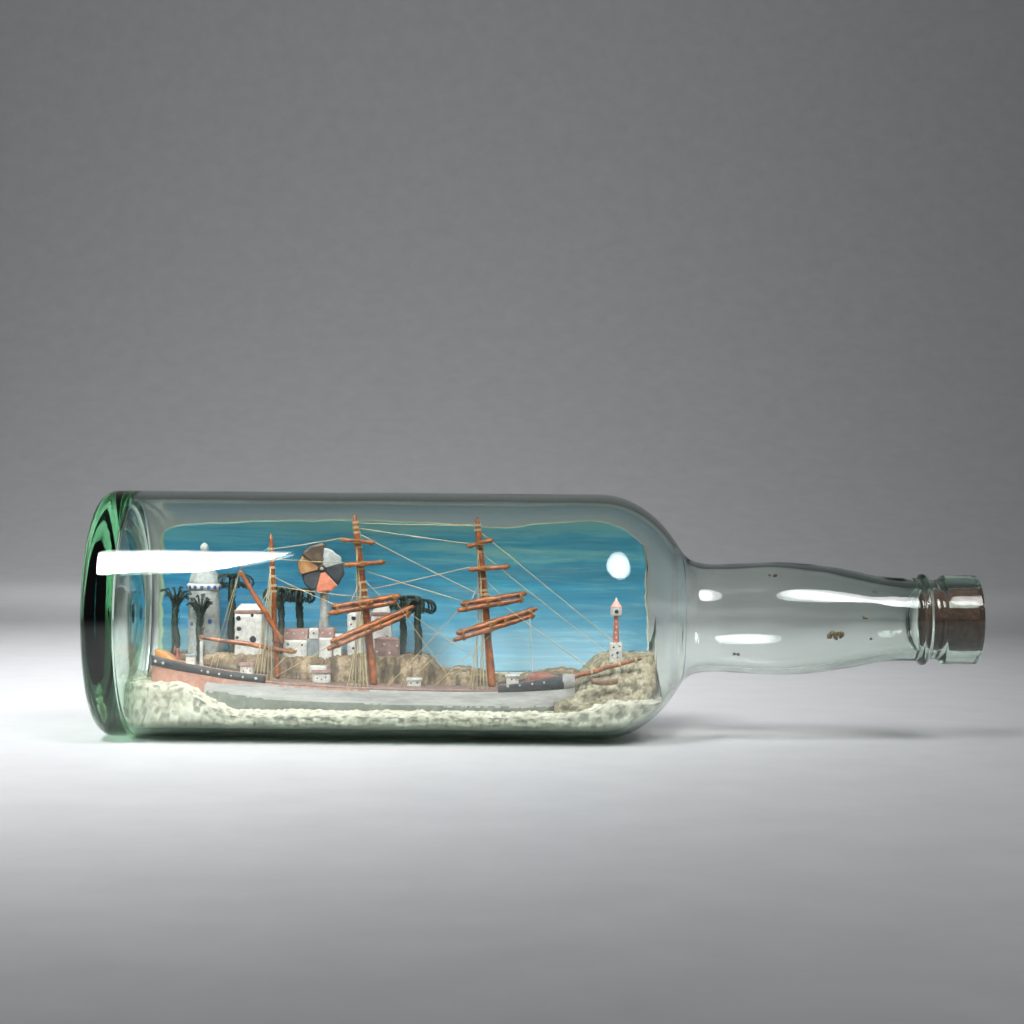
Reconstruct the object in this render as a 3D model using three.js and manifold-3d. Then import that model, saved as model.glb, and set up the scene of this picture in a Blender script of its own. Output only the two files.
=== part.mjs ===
// Ship in a bottle, in millimetres: +Z up, +X towards the mouth.
// Y=0 is on the bottle's axis, and Z=0 at its resting facet.
import * as THREE from 'three';
import { mergeVertices } from 'three/addons/utils/BufferGeometryUtils.js';
import Module from 'manifold-3d';

const wasm = await Module();
wasm.setup();

// ---- driving dimensions ----
const GAP = 0.3;
const FACETS = 36;
const BOTTLE = {
  length: 312.6,
  radius: 44,
  bodyWall: 3.1,
  heelRadius: 6,
  puntDepth: 8.8,
  baseThickness: 11,
  shoulderX: 21.4,
};
const SHOULDER = { length: 38, drop: 56, used: 29.7 };
const INNER_SHOULDER = { length: 36.5, drop: 53, used: 27 };
const FINISH = {
  collarX: 135.5,
  collarRadius: 16.4,
  grooveRadius: 14.3,
  lipX: 143.2,
  lipRadius: 16,
  bore: 11.4,
};
const CORK = { length: 19.2, radius: 11, innerRadius: 10.2, recess: 0.3 };
const SHIP = { stern: -137.5, halfBeam: 7, keelZ: 9, deckZ: 17.3, sternRise: 8.5, waistX: -14 };
const POOP_FRONT = -97;
const FORECASTLE_BACK = -14;
const TOWN = { frontY: 9.5, plateauZ: 28.2 };
const MILL = {
  x: -79.2,
  hubZ: 60,
  wheelY: 16,
  radius: 9,
  thickness: 0.9,
  pinRadius: 0.8,
  boreRadius: 0.87,
  vanes: 6,
};
const THREAD = 0.2;

const AXIS_Z = BOTTLE.radius * Math.cos(Math.PI / FACETS);
const BASE_X = -BOTTLE.length / 2;
const MOUTH_X = BOTTLE.length / 2;
const INNER_RADIUS = BOTTLE.radius - BOTTLE.bodyWall;

const group = new THREE.Group();
group.name = 'ship_in_bottle';

// ---- paints ----
const paint = (color, roughness = 0.6) => new THREE.MeshStandardMaterial({ color, roughness });
const GLASS = new THREE.MeshStandardMaterial({
  color: 0x9fc9b4,
  transparent: true,
  opacity: 0.3,
  roughness: 0.1,
});
const CORK_BROWN = paint(0x6b4a35, 0.9);
const PUTTY = paint(0xd9d6bf, 0.9);
const STONE = paint(0xa8987a, 0.95);
const SKY = paint(0x2f8fb5, 0.5);
const WHITE = paint(0xdfe2de);
const BLACK = paint(0x2c2b31);
const PINK = paint(0xb98f88);
const ORANGE = paint(0xcf8a4e);
const WOOD = paint(0xa5561f, 0.4);
const CREAM = paint(0xcfc3a4, 0.8);
const PALM = paint(0x1f2f28, 0.8);
const CARD = paint(0x4a3a34, 0.8);
const RED = paint(0x96483c);

// ---- solids ----
function toSolid(geometry) {
  const bare = geometry.index ? geometry.toNonIndexed() : geometry.clone();
  bare.deleteAttribute('normal');
  bare.deleteAttribute('uv');
  const merged = mergeVertices(bare, 1e-4);
  const index = merged.index.array;
  const kept = [];
  for (let i = 0; i < index.length; i += 3) {
    const [a, b, c] = [index[i], index[i + 1], index[i + 2]];
    if (a !== b && b !== c && c !== a) kept.push(a, b, c);
  }
  const positions = merged.attributes.position.array;
  if (signedVolume(positions, kept) < 0) kept.reverse();
  const mesh = new wasm.Mesh({
    numProp: 3,
    vertProperties: new Float32Array(positions),
    triVerts: new Uint32Array(kept),
  });
  return new wasm.Manifold(mesh);
}

function signedVolume(positions, index) {
  const point = (i) => new THREE.Vector3().fromArray(positions, 3 * i);
  let sum = 0;
  for (let i = 0; i < index.length; i += 3) {
    sum += point(index[i]).dot(point(index[i + 1]).cross(point(index[i + 2])));
  }
  return sum;
}

function toGeometry(solid) {
  const mesh = solid.getMesh();
  const geometry = new THREE.BufferGeometry();
  geometry.setAttribute('position', new THREE.BufferAttribute(new Float32Array(mesh.vertProperties), 3));
  geometry.setIndex(new THREE.BufferAttribute(new Uint32Array(mesh.triVerts), 1));
  geometry.computeVertexNormals();
  return geometry;
}

function addPart(name, solid, material) {
  const mesh = new THREE.Mesh(toGeometry(solid), material);
  mesh.name = name;
  group.add(mesh);
  return solid;
}

const joined = (solids) => solids.reduce((whole, solid) => whole.add(solid));
const at = (x, y, z) => new THREE.Vector3(x, y, z);
const smooth = (t) => THREE.MathUtils.smoothstep(t, 0, 1);

// A body with one closed ring of points per station, and flat ends.
function loft(rings) {
  const count = rings[0].length;
  const positions = [];
  const triangle = (a, b, c) => positions.push(...a.toArray(), ...b.toArray(), ...c.toArray());
  for (let s = 0; s + 1 < rings.length; s += 1) {
    for (let i = 0; i < count; i += 1) {
      const j = (i + 1) % count;
      triangle(rings[s][i], rings[s][j], rings[s + 1][j]);
      triangle(rings[s][i], rings[s + 1][j], rings[s + 1][i]);
    }
  }
  const last = rings[rings.length - 1];
  for (let i = 1; i + 1 < count; i += 1) {
    triangle(rings[0][0], rings[0][i + 1], rings[0][i]);
    triangle(last[0], last[i], last[i + 1]);
  }
  const geometry = new THREE.BufferGeometry();
  geometry.setAttribute('position', new THREE.Float32BufferAttribute(positions, 3));
  return toSolid(geometry);
}

function box(x0, x1, y0, y1, z0, z1) {
  const geometry = new THREE.BoxGeometry(x1 - x0, y1 - y0, z1 - z0);
  geometry.translate((x0 + x1) / 2, (y0 + y1) / 2, (z0 + z1) / 2);
  return toSolid(geometry);
}

// A round bar between two points, its radii spread evenly along it.
function bar(from, to, radii, sides = 8) {
  const direction = to.clone().sub(from);
  const length = direction.length();
  const step = length / (radii.length - 1);
  const profile = [new THREE.Vector2(0, 0)];
  radii.forEach((radius, i) => profile.push(new THREE.Vector2(radius, i * step)));
  profile.push(new THREE.Vector2(0, length));
  const geometry = new THREE.LatheGeometry(profile, sides);
  const turn = new THREE.Quaternion().setFromUnitVectors(at(0, 1, 0), direction.normalize());
  geometry.applyQuaternion(turn);
  geometry.translate(from.x, from.y, from.z);
  return toSolid(geometry);
}

// A band round a bar, clear of it by the gap. A share below 1 narrows it sideways, to go round two bars.
function band(centre, axis, radius, share = 1) {
  const height = 0.6;
  const inner = (radius + GAP) / Math.cos(Math.PI / 6);
  const outer = inner + 0.6;
  const corners = [[inner, 0], [outer, 0], [outer, height], [inner, height], [inner, 0]];
  const profile = corners.map(([r, y]) => new THREE.Vector2(r, y - height / 2));
  const geometry = new THREE.LatheGeometry(profile, share < 1 ? 8 : 6);
  const turn = new THREE.Quaternion().setFromUnitVectors(at(0, 1, 0), axis.clone().normalize());
  geometry.scale(share, 1, 1);
  geometry.applyQuaternion(turn);
  geometry.translate(centre.x, centre.y, centre.z);
  return toSolid(geometry);
}

const thread = (from, to) => bar(from, to, [THREAD, THREAD], 4);

function turnedAlongX(profile) {
  const points = profile.map(([x, r]) => new THREE.Vector2(r, x));
  const geometry = new THREE.LatheGeometry(points, FACETS, Math.PI / FACETS);
  geometry.rotateZ(-Math.PI / 2);
  geometry.translate(0, 0, AXIS_Z);
  return toSolid(geometry);
}

function turnedAlongZ(x, y, profile, sides = 14) {
  const geometry = new THREE.LatheGeometry(profile.map(([z, r]) => new THREE.Vector2(r, z)), sides);
  geometry.rotateX(Math.PI / 2);
  geometry.translate(x, y, 0);
  return toSolid(geometry);
}

// An outline in the XZ plane, given depth along Y.
function slab(outline, y0, y1) {
  const near = outline.map(([x, z]) => at(x, y0, z));
  const far = outline.map(([x, z]) => at(x, y1, z));
  return loft([near, far]);
}

// ---- bottle ----
function shoulder(shape, radius, steps, shift) {
  const points = [];
  for (let i = 0; i <= steps; i += 1) {
    const run = (shape.used * i) / steps;
    const fall = shape.drop * (1 - Math.sqrt(1 - (run / shape.length) ** 2));
    points.push([BOTTLE.shoulderX + run, radius - fall - shift]);
  }
  return points;
}

function curveThrough(points, steps) {
  const curve = new THREE.SplineCurve(points.map(([x, r]) => new THREE.Vector2(x, r)));
  return curve.getPoints(steps).map((p) => [p.x, p.y]);
}

function heel(x, radius, bend, steps) {
  const points = [];
  for (let i = 0; i <= steps; i += 1) {
    const angle = (Math.PI / 2) * (i / steps);
    points.push([x + bend * (1 - Math.sin(angle)), radius - bend * (1 - Math.cos(angle))]);
  }
  return points.reverse();
}

const outerNeck = [
  [55, 20],
  [64, 19.25],
  [85.9, 20.3],
  [100, 19.25],
  [111, 17.6],
  [121.7, 15.4],
  [131, 14.95],
];
const innerNeck = [
  [52.5, 19.8],
  [64, 17.5],
  [86, 18.4],
  [100, 16.9],
  [111, 14.9],
  [122, 12.6],
  [131, 11.4],
];

const outerProfile = [
  [BASE_X + BOTTLE.puntDepth, 0],
  [BASE_X + 0.62 * BOTTLE.puntDepth, 22],
  ...heel(BASE_X, BOTTLE.radius, BOTTLE.heelRadius, 3),
  ...shoulder(SHOULDER, BOTTLE.radius, 6, 0),
  ...curveThrough(outerNeck, 8),
  [FINISH.collarX - 0.7, 14.95],
  [FINISH.collarX, FINISH.collarRadius],
  [FINISH.collarX + 2.5, FINISH.collarRadius],
  [FINISH.collarX + 3.4, FINISH.grooveRadius],
  [FINISH.lipX - 0.9, FINISH.grooveRadius],
  [FINISH.lipX, FINISH.lipRadius],
  [MOUTH_X - 0.6, FINISH.lipRadius],
  [MOUTH_X, FINISH.lipRadius - 0.6],
];

function innerProfile(clearance) {
  const base = BASE_X + BOTTLE.baseThickness + clearance;
  return [
    [base + 4.2, 0],
    [base + 1.2, 22],
    ...heel(base, INNER_RADIUS - clearance, 2, 2),
    ...shoulder(INNER_SHOULDER, INNER_RADIUS, 5, clearance),
    ...curveThrough(innerNeck, 6).map(([x, r]) => [x, r - clearance]),
    [MOUTH_X, FINISH.bore - clearance],
  ];
}

const cavity = (clearance) => turnedAlongX([...innerProfile(clearance), [MOUTH_X, 0]]);

addPart('bottle', turnedAlongX([...outerProfile, ...innerProfile(0).reverse()]), GLASS);

const corkEnd = MOUTH_X - CORK.recess;
const corkFrom = at(corkEnd - CORK.length, 0, AXIS_Z);
const corkRadii = [CORK.innerRadius, CORK.radius, CORK.radius];
addPart('cork', bar(corkFrom, at(corkEnd, 0, AXIS_Z), corkRadii, 20), CORK_BROWN);

// ---- ship's lines ----
function deckEdge(x) {
  const aft = Math.max(0, (SHIP.waistX - x) / 124);
  const forward = Math.max(0, (x - SHIP.waistX) / 27);
  return SHIP.deckZ + SHIP.sternRise * aft ** 3 + 1.4 * forward ** 1.5;
}

function halfBreadth(x) {
  if (x > -18) return 0.5 + (SHIP.halfBeam - 0.5) * Math.sqrt(Math.max(0, 1 - ((x + 18) / 31) ** 2));
  if (x < -100) return SHIP.halfBeam - 3 * ((-100 - x) / 37.5) ** 2;
  return SHIP.halfBeam;
}

function hullBottom(x) {
  const counter = Math.max(0, (-122 - x) / 15.5);
  const stemRake = Math.max(0, (x + 2) / 15);
  return SHIP.keelZ + 9 * counter ** 1.5 + 5.5 * stemRake ** 2;
}

function hullSolid(grow) {
  const stations = [-137.5, -132, -125, -112, -95, -55, -18, -8, 1, 7, 11, 13];
  return loft(stations.map((x, i) => {
    const half = halfBreadth(x) + grow;
    const low = hullBottom(x) - grow;
    const high = deckEdge(x) + 8 * grow;
    const turn = hullBottom(x) + 0.45 * (deckEdge(x) - hullBottom(x));
    const shifted = x + (i === 0 ? -grow : 0) + (i === stations.length - 1 ? grow : 0);
    const flat = 0.7 * half;
    const corners = [[-flat, low], [flat, low], [half, turn], [half, high], [-half, high], [-half, turn]];
    return corners.map(([y, z]) => at(shifted, y, z));
  }));
}

// A block that follows the deck's outline, from one height above the deck edge to another.
function deckBlock(x0, x1, inset, low, high) {
  const steps = 6;
  const rings = [];
  for (let i = 0; i <= steps; i += 1) {
    const x = x0 + ((x1 - x0) * i) / steps;
    const half = Math.max(0.3, halfBreadth(x) - inset);
    const z0 = deckEdge(x) + low(x);
    const z1 = deckEdge(x) + high(x);
    rings.push([at(x, -half, z0), at(x, half, z0), at(x, half, z1), at(x, -half, z1)]);
  }
  return loft(rings);
}

const level = (height) => () => height;
const poopRail = (x) => 2.5 + 0.8 * Math.max(0, (-112 - x) / 25);
const bowRail = (x) => 2.3 + 2.4 * Math.min(1, Math.max(0, (x + 14) / 20));
const forecastleRoof = (x) => 1.6 + 3.6 * smooth((x + 6.5) / 4);

addPart('hull', hullSolid(0), WHITE);
addPart('main_deck', deckBlock(POOP_FRONT + 0.6, FORECASTLE_BACK - 0.6, 0, level(GAP), level(0.9)), PINK);
addPart('poop_deck', deckBlock(-135.4, POOP_FRONT, 1.2, level(GAP), level(1.5)), ORANGE);
addPart('poop_bulwark', deckBlock(SHIP.stern, POOP_FRONT, 0, level(GAP), poopRail)
  .subtract(deckBlock(SHIP.stern + 1.4, POOP_FRONT + 6, 0.9, level(-1), level(8))), BLACK);
addPart('forecastle_deck', deckBlock(FORECASTLE_BACK, 5, 1.3, level(GAP), forecastleRoof), RED);

// ---- masts and spars ----
const mastFoot = (x) => at(x, 0, deckEdge(x) + 1.2);
const MASTS = {
  mizzen: { foot: mastFoot(-93.2), top: at(-96.1, 0, 72.5), radii: [1.15, 1.1, 1.05, 0.95, 0.5] },
  main: { foot: mastFoot(-58.8), top: at(-66.2, 0, 79.9), radii: [1.5, 1.5, 1.5, 1.35, 0.7] },
  fore: { foot: mastFoot(-16.6), top: at(-22.5, 0, 79.3), radii: [1.6, 1.55, 1.5, 1.35, 0.7] },
};

function onMast(mast, z) {
  const { foot, top } = MASTS[mast];
  return foot.clone().lerp(top, (z - foot.z) / (top.z - foot.z));
}

function mastRadius(mast, z) {
  const { foot, top, radii } = MASTS[mast];
  const place = ((z - foot.z) / (top.z - foot.z)) * (radii.length - 1);
  const i = Math.min(radii.length - 2, Math.floor(place));
  return radii[i] + (radii[i + 1] - radii[i]) * (place - i);
}

const mastBand = (mast, z) => {
  const { foot, top } = MASTS[mast];
  return band(onMast(mast, z), top.clone().sub(foot), mastRadius(mast, z - 1));
};

for (const [mast, { foot, top, radii }] of Object.entries(MASTS)) {
  addPart(`${mast}_mast`, bar(foot, top, radii, 10), WOOD);
}

// Height on the mast, reach aft and ahead of it, and the lift in degrees.
// The kind sets how far the yard swings round, how far in front of the mast it is tied, and its radius.
const YARD_KINDS = {
  royal: { swing: 11, out: 2.8, radius: 0.7 },
  topgallant: { swing: 15, out: 3.1, radius: 0.8 },
  topsail: { swing: 20, out: 3.75, radius: 0.85, pair: true },
  course: { swing: 25, out: 3.9, radius: 0.85, pair: true },
};
const yard = (mast, kind, z, aft, ahead, lift) => ({ mast, z, aft, ahead, lift, ...YARD_KINDS[kind] });
const YARDS = {
  main_royal_yard: yard('main', 'royal', 70.1, 5.9, 6.4, -4.5),
  main_topgallant_yard: yard('main', 'topgallant', 62.1, 5.5, 9.3, 4.5),
  main_topsail_yard: yard('main', 'topsail', 47.7, 12.6, 12.8, 9),
  main_course_yard: yard('main', 'course', 38.9, 15.2, 18.6, 21),
  fore_royal_yard: yard('fore', 'royal', 69.7, 4.5, 5.3, 15),
  fore_topgallant_yard: yard('fore', 'topgallant', 60.7, 4.8, 10.4, 4.5),
  fore_topsail_yard: yard('fore', 'topsail', 48.6, 9.5, 15.5, 8.5),
  fore_course_yard: yard('fore', 'course', 40.1, 12.5, 20.1, 15),
};

function yardLine({ mast, z, lift, swing, out }, shift = 0) {
  const [up, round] = [THREE.MathUtils.degToRad(lift), THREE.MathUtils.degToRad(swing)];
  const direction = at(Math.cos(up) * Math.cos(round), Math.cos(up) * Math.sin(round), Math.sin(up));
  const middle = onMast(mast, z).add(at(0, -out, shift));
  return { direction, middle };
}

const yardPoint = (name, along, shift = 0) => {
  const { direction, middle } = yardLine(YARDS[name], shift);
  return middle.addScaledVector(direction, along);
};

for (const [name, { aft, ahead: fore, radius, pair }] of Object.entries(YARDS)) {
  const taper = [0.8, 1, 1, 0.8].map((share) => share * radius);
  const levels = pair ? [['_upper', 1.02, 0.6], ['_lower', -1.02, -0.6]] : [['', 0, 0]];
  for (const [suffix, shift, slip] of levels) {
    const from = yardPoint(name, slip - aft, shift);
    addPart(name + suffix, bar(from, yardPoint(name, slip + fore, shift), taper, 8), WOOD);
  }
}

const bowspritHeel = at(7.4, 0, 20.9);
const bowspritTip = at(36.2, 0, 29);
const bowsprit = bar(bowspritHeel, bowspritTip, [0.95, 0.85, 0.5], 8);
const bowspritClearance = bar(bowspritHeel.clone().add(at(-3, 0, -0.8)), bowspritTip, [1.3, 1.3, 1.3], 8);
addPart('bowsprit', bowsprit, WOOD);
addPart('bow_bulwark', deckBlock(FORECASTLE_BACK, 12.6, 0, level(GAP), bowRail)
  .subtract(deckBlock(FORECASTLE_BACK - 1, 10.6, 0.9, level(-1), level(9)))
  .subtract(bowspritClearance), BLACK);

const gaffPeak = at(-106.8, -2.6, 59.3);
const gaffJaw = at(-90.8, -4.4, 34.2);
const boomEnd = at(-121.2, -0.8, 35.6);
const boomJaw = at(-86.4, -2.8, 30.6);
addPart('gaff', bar(gaffPeak, gaffJaw, [0.7, 0.85, 0.7], 8), WOOD);
addPart('boom', bar(boomEnd, boomJaw, [0.65, 0.85, 0.65], 8), WOOD);
const crutchFoot = at(-120.4, -0.8, deckEdge(-120.4) + 1.8);
addPart('boom_crutch', bar(crutchFoot, at(-120.4, -0.8, 34.3), [0.8, 0.65, 0.6], 6), WHITE);

// ---- deck fittings ----
function deckHouse(x, length, width, height, floor) {
  const z = deckEdge(x) + floor + GAP;
  const walls = box(x - length / 2, x + length / 2, -width / 2, width / 2, z, z + 0.75 * height);
  const eaves = 0.5;
  const [reach, side] = [length / 2 + eaves, width / 2 + eaves];
  const roof = box(x - reach, x + reach, -side, side, z + 0.75 * height - 0.01, z + height);
  return walls.add(roof);
}

addPart('aft_house', deckHouse(-104.2, 4.4, 3.6, 4, 1.6), WHITE);
addPart('mid_house', deckHouse(-77.4, 6, 5, 4.6, 1), WHITE);
addPart('fore_house', deckHouse(-44.4, 4.6, 4, 2.6, 1), WHITE);
addPart('bow_cabin', deckHouse(-9.4, 4.2, 3.6, 3.2, 2.2), WHITE);
const postFoot = at(-129, 0, deckEdge(-129) + 1.8);
addPart('steering_post', bar(postFoot, postFoot.clone().add(at(0, 0, 5.7)), [0.9, 0.7, 0.7], 6), RED);

// ---- rigging: bands round the spars, with threads from band to band ----
const PAIR_REACH = 2.1;
const yardBand = (name, along) => {
  const { direction } = yardLine(YARDS[name]);
  const { pair, radius } = YARDS[name];
  return band(yardPoint(name, along), direction, pair ? PAIR_REACH : radius, pair ? 0.66 : 1);
};
const bandEdge = (radius) => (radius + GAP) / Math.cos(Math.PI / 6) + 0.17;

function shrouds(mast, z, spread) {
  const ring = mastBand(mast, z);
  const hub = onMast(mast, z);
  const reach = 0.85 * bandEdge(mastRadius(mast, z - 1));
  const lines = [];
  for (const side of [-1, 1]) {
    for (const back of spread) {
      const x = MASTS[mast].foot.x - back;
      const foot = at(x, side * (halfBreadth(x) - 2.2), deckEdge(x) + 1.9);
      lines.push(thread(hub.clone().add(at(-0.6, side * reach, 0)), foot));
    }
  }
  return joined([ring, ...lines]);
}

addPart('mizzen_shrouds', shrouds('mizzen', 52, [2.2, 4.4, 6.6]), CREAM);
addPart('main_shrouds', shrouds('main', 48.2, [3, 5.4, 7.8]), CREAM);
addPart('fore_shrouds', shrouds('fore', 49.6, [2.6, 4.8, 7]), CREAM);

const ahead = (mast, z) => onMast(mast, z).add(at(bandEdge(mastRadius(mast, z - 1)), 0, 0));
const behind = (mast, z) => onMast(mast, z).add(at(-bandEdge(mastRadius(mast, z - 1)), 0, 0));

// A line down the mast's face that ties its bands together.
function fall(mast, heights) {
  const lines = [];
  for (let i = 0; i + 1 < heights.length; i += 1) {
    lines.push(thread(ahead(mast, heights[i]), ahead(mast, heights[i + 1])));
  }
  return joined(lines);
}

const alongBowsprit = (share) => bowspritHeel.clone().lerp(bowspritTip, share);
const bowspritAxis = bowspritTip.clone().sub(bowspritHeel);
const bowStays = [];
const bowHeights = [74.5, 66.6, 52.9];
for (const [z, share] of [[bowHeights[0], 0.93], [bowHeights[1], 0.74], [bowHeights[2], 0.4]]) {
  const end = alongBowsprit(share);
  bowStays.push(mastBand('fore', z), band(end, bowspritAxis, 0.8));
  bowStays.push(thread(ahead('fore', z), end.clone().add(at(0, 0, bandEdge(0.8)))));
}
bowStays.push(fall('fore', bowHeights));
addPart('bow_stays', joined(bowStays), CREAM);

// Stays and braces from one mast forward to the next, each yard end held by its own band.
function linkedRigging(mast, links) {
  const pieces = [fall(mast, links.map((link) => link.z))];
  for (const { z, toYard, along, nextMast, nextZ } of links) {
    pieces.push(mastBand(mast, z));
    if (toYard) {
      const reach = YARDS[toYard].pair ? PAIR_REACH : YARDS[toYard].radius;
      pieces.push(yardBand(toYard, along));
      pieces.push(thread(ahead(mast, z), yardPoint(toYard, along).add(at(0, 0, bandEdge(reach)))));
    } else {
      pieces.push(mastBand(nextMast, nextZ));
      pieces.push(thread(ahead(mast, z), behind(nextMast, nextZ)));
    }
  }
  return joined(pieces);
}

addPart('main_to_fore_stays', linkedRigging('main', [
  { z: 76.8, nextMast: 'fore', nextZ: 76.2 },
  { z: 75, toYard: 'fore_royal_yard', along: -3.6 },
  { z: 73.2, nextMast: 'fore', nextZ: 51.4 },
  { z: 60.2, toYard: 'fore_topsail_yard', along: -8.2 },
  { z: 52.6, toYard: 'fore_topgallant_yard', along: -4 },
]), CREAM);

addPart('mizzen_to_main_stays', linkedRigging('mizzen', [
  { z: 67, toYard: 'main_royal_yard', along: -5.2 },
  { z: 63.6, toYard: 'main_topgallant_yard', along: -4.8 },
  { z: 57.4, toYard: 'main_topsail_yard', along: -11.2 },
  { z: 54, nextMast: 'main', nextZ: 50.2 },
]), CREAM);

// ---- shore: putty sea, town cliff and headland ----
const ripple = (x, y) => 0.5 * Math.sin(x * 0.55) * Math.cos(y * 0.7) + 0.35 * Math.sin(x * 0.21 + y);

function terrain({ x0, x1, steps, rows, front, back, top }) {
  const rings = [];
  for (let i = 0; i <= steps; i += 1) {
    const x = x0 + ((x1 - x0) * i) / steps;
    const [near, far] = [front(x), back(x)];
    const ring = [at(x, far, 0), at(x, near, 0)];
    for (let j = 0; j <= rows; j += 1) {
      const y = near + ((far - near) * j) / rows;
      ring.push(at(x, y, top(x, y)));
    }
    rings.push(ring);
  }
  return loft(rings);
}

const seaTop = (x, y) => {
  const [aft, forward] = [9.3 * smooth((-106 - x) / 27), 4.5 * smooth((x - 4) / 26)];
  return 10.6 + aft + forward + 0.6 * ripple(x, y);
};
const seaShape = (lift) => terrain({
  x0: -144.1,
  x1: 44,
  steps: 22,
  rows: 5,
  front: (x) => -20 - 0.6 * Math.sin(x * 0.31) + 0.04 * Math.max(0, -128 - x) ** 2,
  back: () => 34,
  top: (x, y) => seaTop(x, y) + lift,
});

const cliffTop = (x, y) => {
  const town = smooth((-34 - x) / 8) * smooth((x + 143) / 12);
  const ridge = 20.8 + 1.2 * Math.sin(x * 0.16);
  const plateau = ridge + (TOWN.plateauZ - ridge) * town + 0.9 * ripple(x, y);
  const rise = smooth((y - TOWN.frontY + 1.5) / 4.5);
  return 15.5 + (plateau - 15.5) * rise;
};

// Footprints sunk into the ground under each thing that stands on it.
const pockets = [];
const stand = (x0, x1, y0, y1, z) => {
  pockets.push(box(x0 - GAP, x1 + GAP, y0 - GAP, y1 + GAP, z - GAP, z + 20));
};

const HOUSES = {
  white_house: { x: [-110.8, -101], y: [16, 23], z: [27.5, 44], roof: 2.6 },
  row_houses: { x: [-92.6, -71.6], y: [12.6, 17.6], z: [26.8, 36.6], roof: 1.9 },
  tall_house: { x: [-70, -64.4], y: [19, 24], z: [27, 42.4], roof: 1.6 },
  gable_house: { x: [-61.3, -53.7], y: [19, 25], z: [27, 44.4], roof: 2.4 },
  pink_house: { x: [-59.6, -50.6], y: [13.4, 17.6], z: [26.8, 33.6], roof: 1.4 },
};

for (const [name, { x: [x0, x1], y: [y0, y1], z: [foot, eaves], roof }] of Object.entries(HOUSES)) {
  const ridge = eaves + roof;
  const lean = Math.min(1.6, (x1 - x0) / 4);
  const outline = [[x0, foot], [x1, foot], [x1, eaves], [x1 - lean, ridge], [x0 + lean, ridge], [x0, eaves]];
  stand(x0, x1, y0, y1, foot);
  addPart(name, slab(outline, y0, y1), name === 'pink_house' ? PINK : WHITE);
}

const TOWER = { x: -122.9, y: 22.4, foot: 27, bandZ: 52, radius: 6.1 };
stand(TOWER.x - 6.1, TOWER.x + 6.1, TOWER.y - 6.1, TOWER.y + 6.1, TOWER.foot);
addPart('domed_tower', turnedAlongZ(TOWER.x, TOWER.y, [
  [TOWER.foot, 0],
  [TOWER.foot, TOWER.radius],
  [TOWER.bandZ, TOWER.radius],
  [TOWER.bandZ + 0.4, TOWER.radius + 0.5],
  [TOWER.bandZ + 1.8, TOWER.radius + 0.5],
  [TOWER.bandZ + 2.2, TOWER.radius - 0.5],
  [TOWER.bandZ + 7, 4.4],
  [TOWER.bandZ + 10, 1.4],
  [TOWER.bandZ + 13, 0.8],
  [TOWER.bandZ + 15.4, 1.7],
  [TOWER.bandZ + 17.4, 0],
]), WHITE);

// ---- windmill: a post with a pin, and a wheel of card vanes that turns on it ----
stand(MILL.x - 2.4, MILL.x + 2.4, 18.4, 22.8, 28);
const millPost = turnedAlongZ(MILL.x + 0.6, 20.6, [[28, 0], [28, 2.2], [51, 1.6], [51, 0]], 10);
const millStem = bar(at(MILL.x, 19.4, 50.5), at(MILL.x, 19.4, MILL.hubZ + 1.2), [0.9, 0.9], 8);
const onPin = (y) => at(MILL.x, y, MILL.hubZ);
const millPin = bar(onPin(19.9), onPin(14.3), [MILL.pinRadius, MILL.pinRadius], 16);
const millCap = bar(onPin(14.5), onPin(13.7), [1.6, 1.2], 16);
addPart('windmill_post', joined([millPost, millStem, millPin, millCap]), WHITE);

const wheelBack = MILL.wheelY + MILL.thickness / 2;
const wheelFront = MILL.wheelY - MILL.thickness / 2;
const vanes = [];
for (let i = 0; i < MILL.vanes; i += 1) {
  const from = (2 * Math.PI * i) / MILL.vanes;
  const outline = [];
  for (const turn of [0.06, 0.5, 0.94]) {
    const angle = from + (turn * 2 * Math.PI) / MILL.vanes;
    outline.push([MILL.x + MILL.radius * Math.cos(angle), MILL.hubZ + MILL.radius * Math.sin(angle)]);
  }
  outline.push([MILL.x, MILL.hubZ]);
  vanes.push(slab(outline, wheelFront, wheelBack));
}
const hub = bar(onPin(wheelFront - 0.5), onPin(wheelBack + 0.5), [2, 2], 16);
const bore = bar(onPin(10), onPin(24), [MILL.boreRadius, MILL.boreRadius], 16);
addPart('windmill_wheel', joined([hub, ...vanes]).subtract(bore), CARD);

// ---- palms: a trunk with curled blades ----
const PALMS = [
  { x: -132.2, y: 15, foot: 26.5, crown: 48, spread: 4.6 },
  { x: -123, y: 11.8, foot: 25, crown: 44.5, spread: 4 },
  { x: -113.2, y: 25, foot: 27.5, crown: 56, spread: 3.6 },
  { x: -94.6, y: 22.5, foot: 27.5, crown: 51, spread: 4.4 },
  { x: -87.6, y: 23.5, foot: 27.5, crown: 50.5, spread: 4 },
  { x: -49.8, y: 25, foot: 27.5, crown: 48.2, spread: 3.8 },
  { x: -44.2, y: 18.8, foot: 27.2, crown: 47, spread: 4.4 },
];

function blade(x, y, z, turn, spread) {
  const out = at(Math.cos(turn), Math.sin(turn), 0);
  const side = at(-Math.sin(turn), Math.cos(turn), 0);
  const rings = [[0, 0, 0.7], [0.55, 0.35, 0.6], [1, -0.1, 0.2]].map(([reach, rise, width]) => {
    const centre = at(x, y, z).addScaledVector(out, reach * spread).add(at(0, 0, rise * spread));
    const corner = (across, up) => centre.clone().addScaledVector(side, across).add(at(0, 0, up));
    return [corner(-width, -0.3), corner(width, -0.3), corner(width, 0.3), corner(-width, 0.3)];
  });
  return loft(rings);
}

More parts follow.
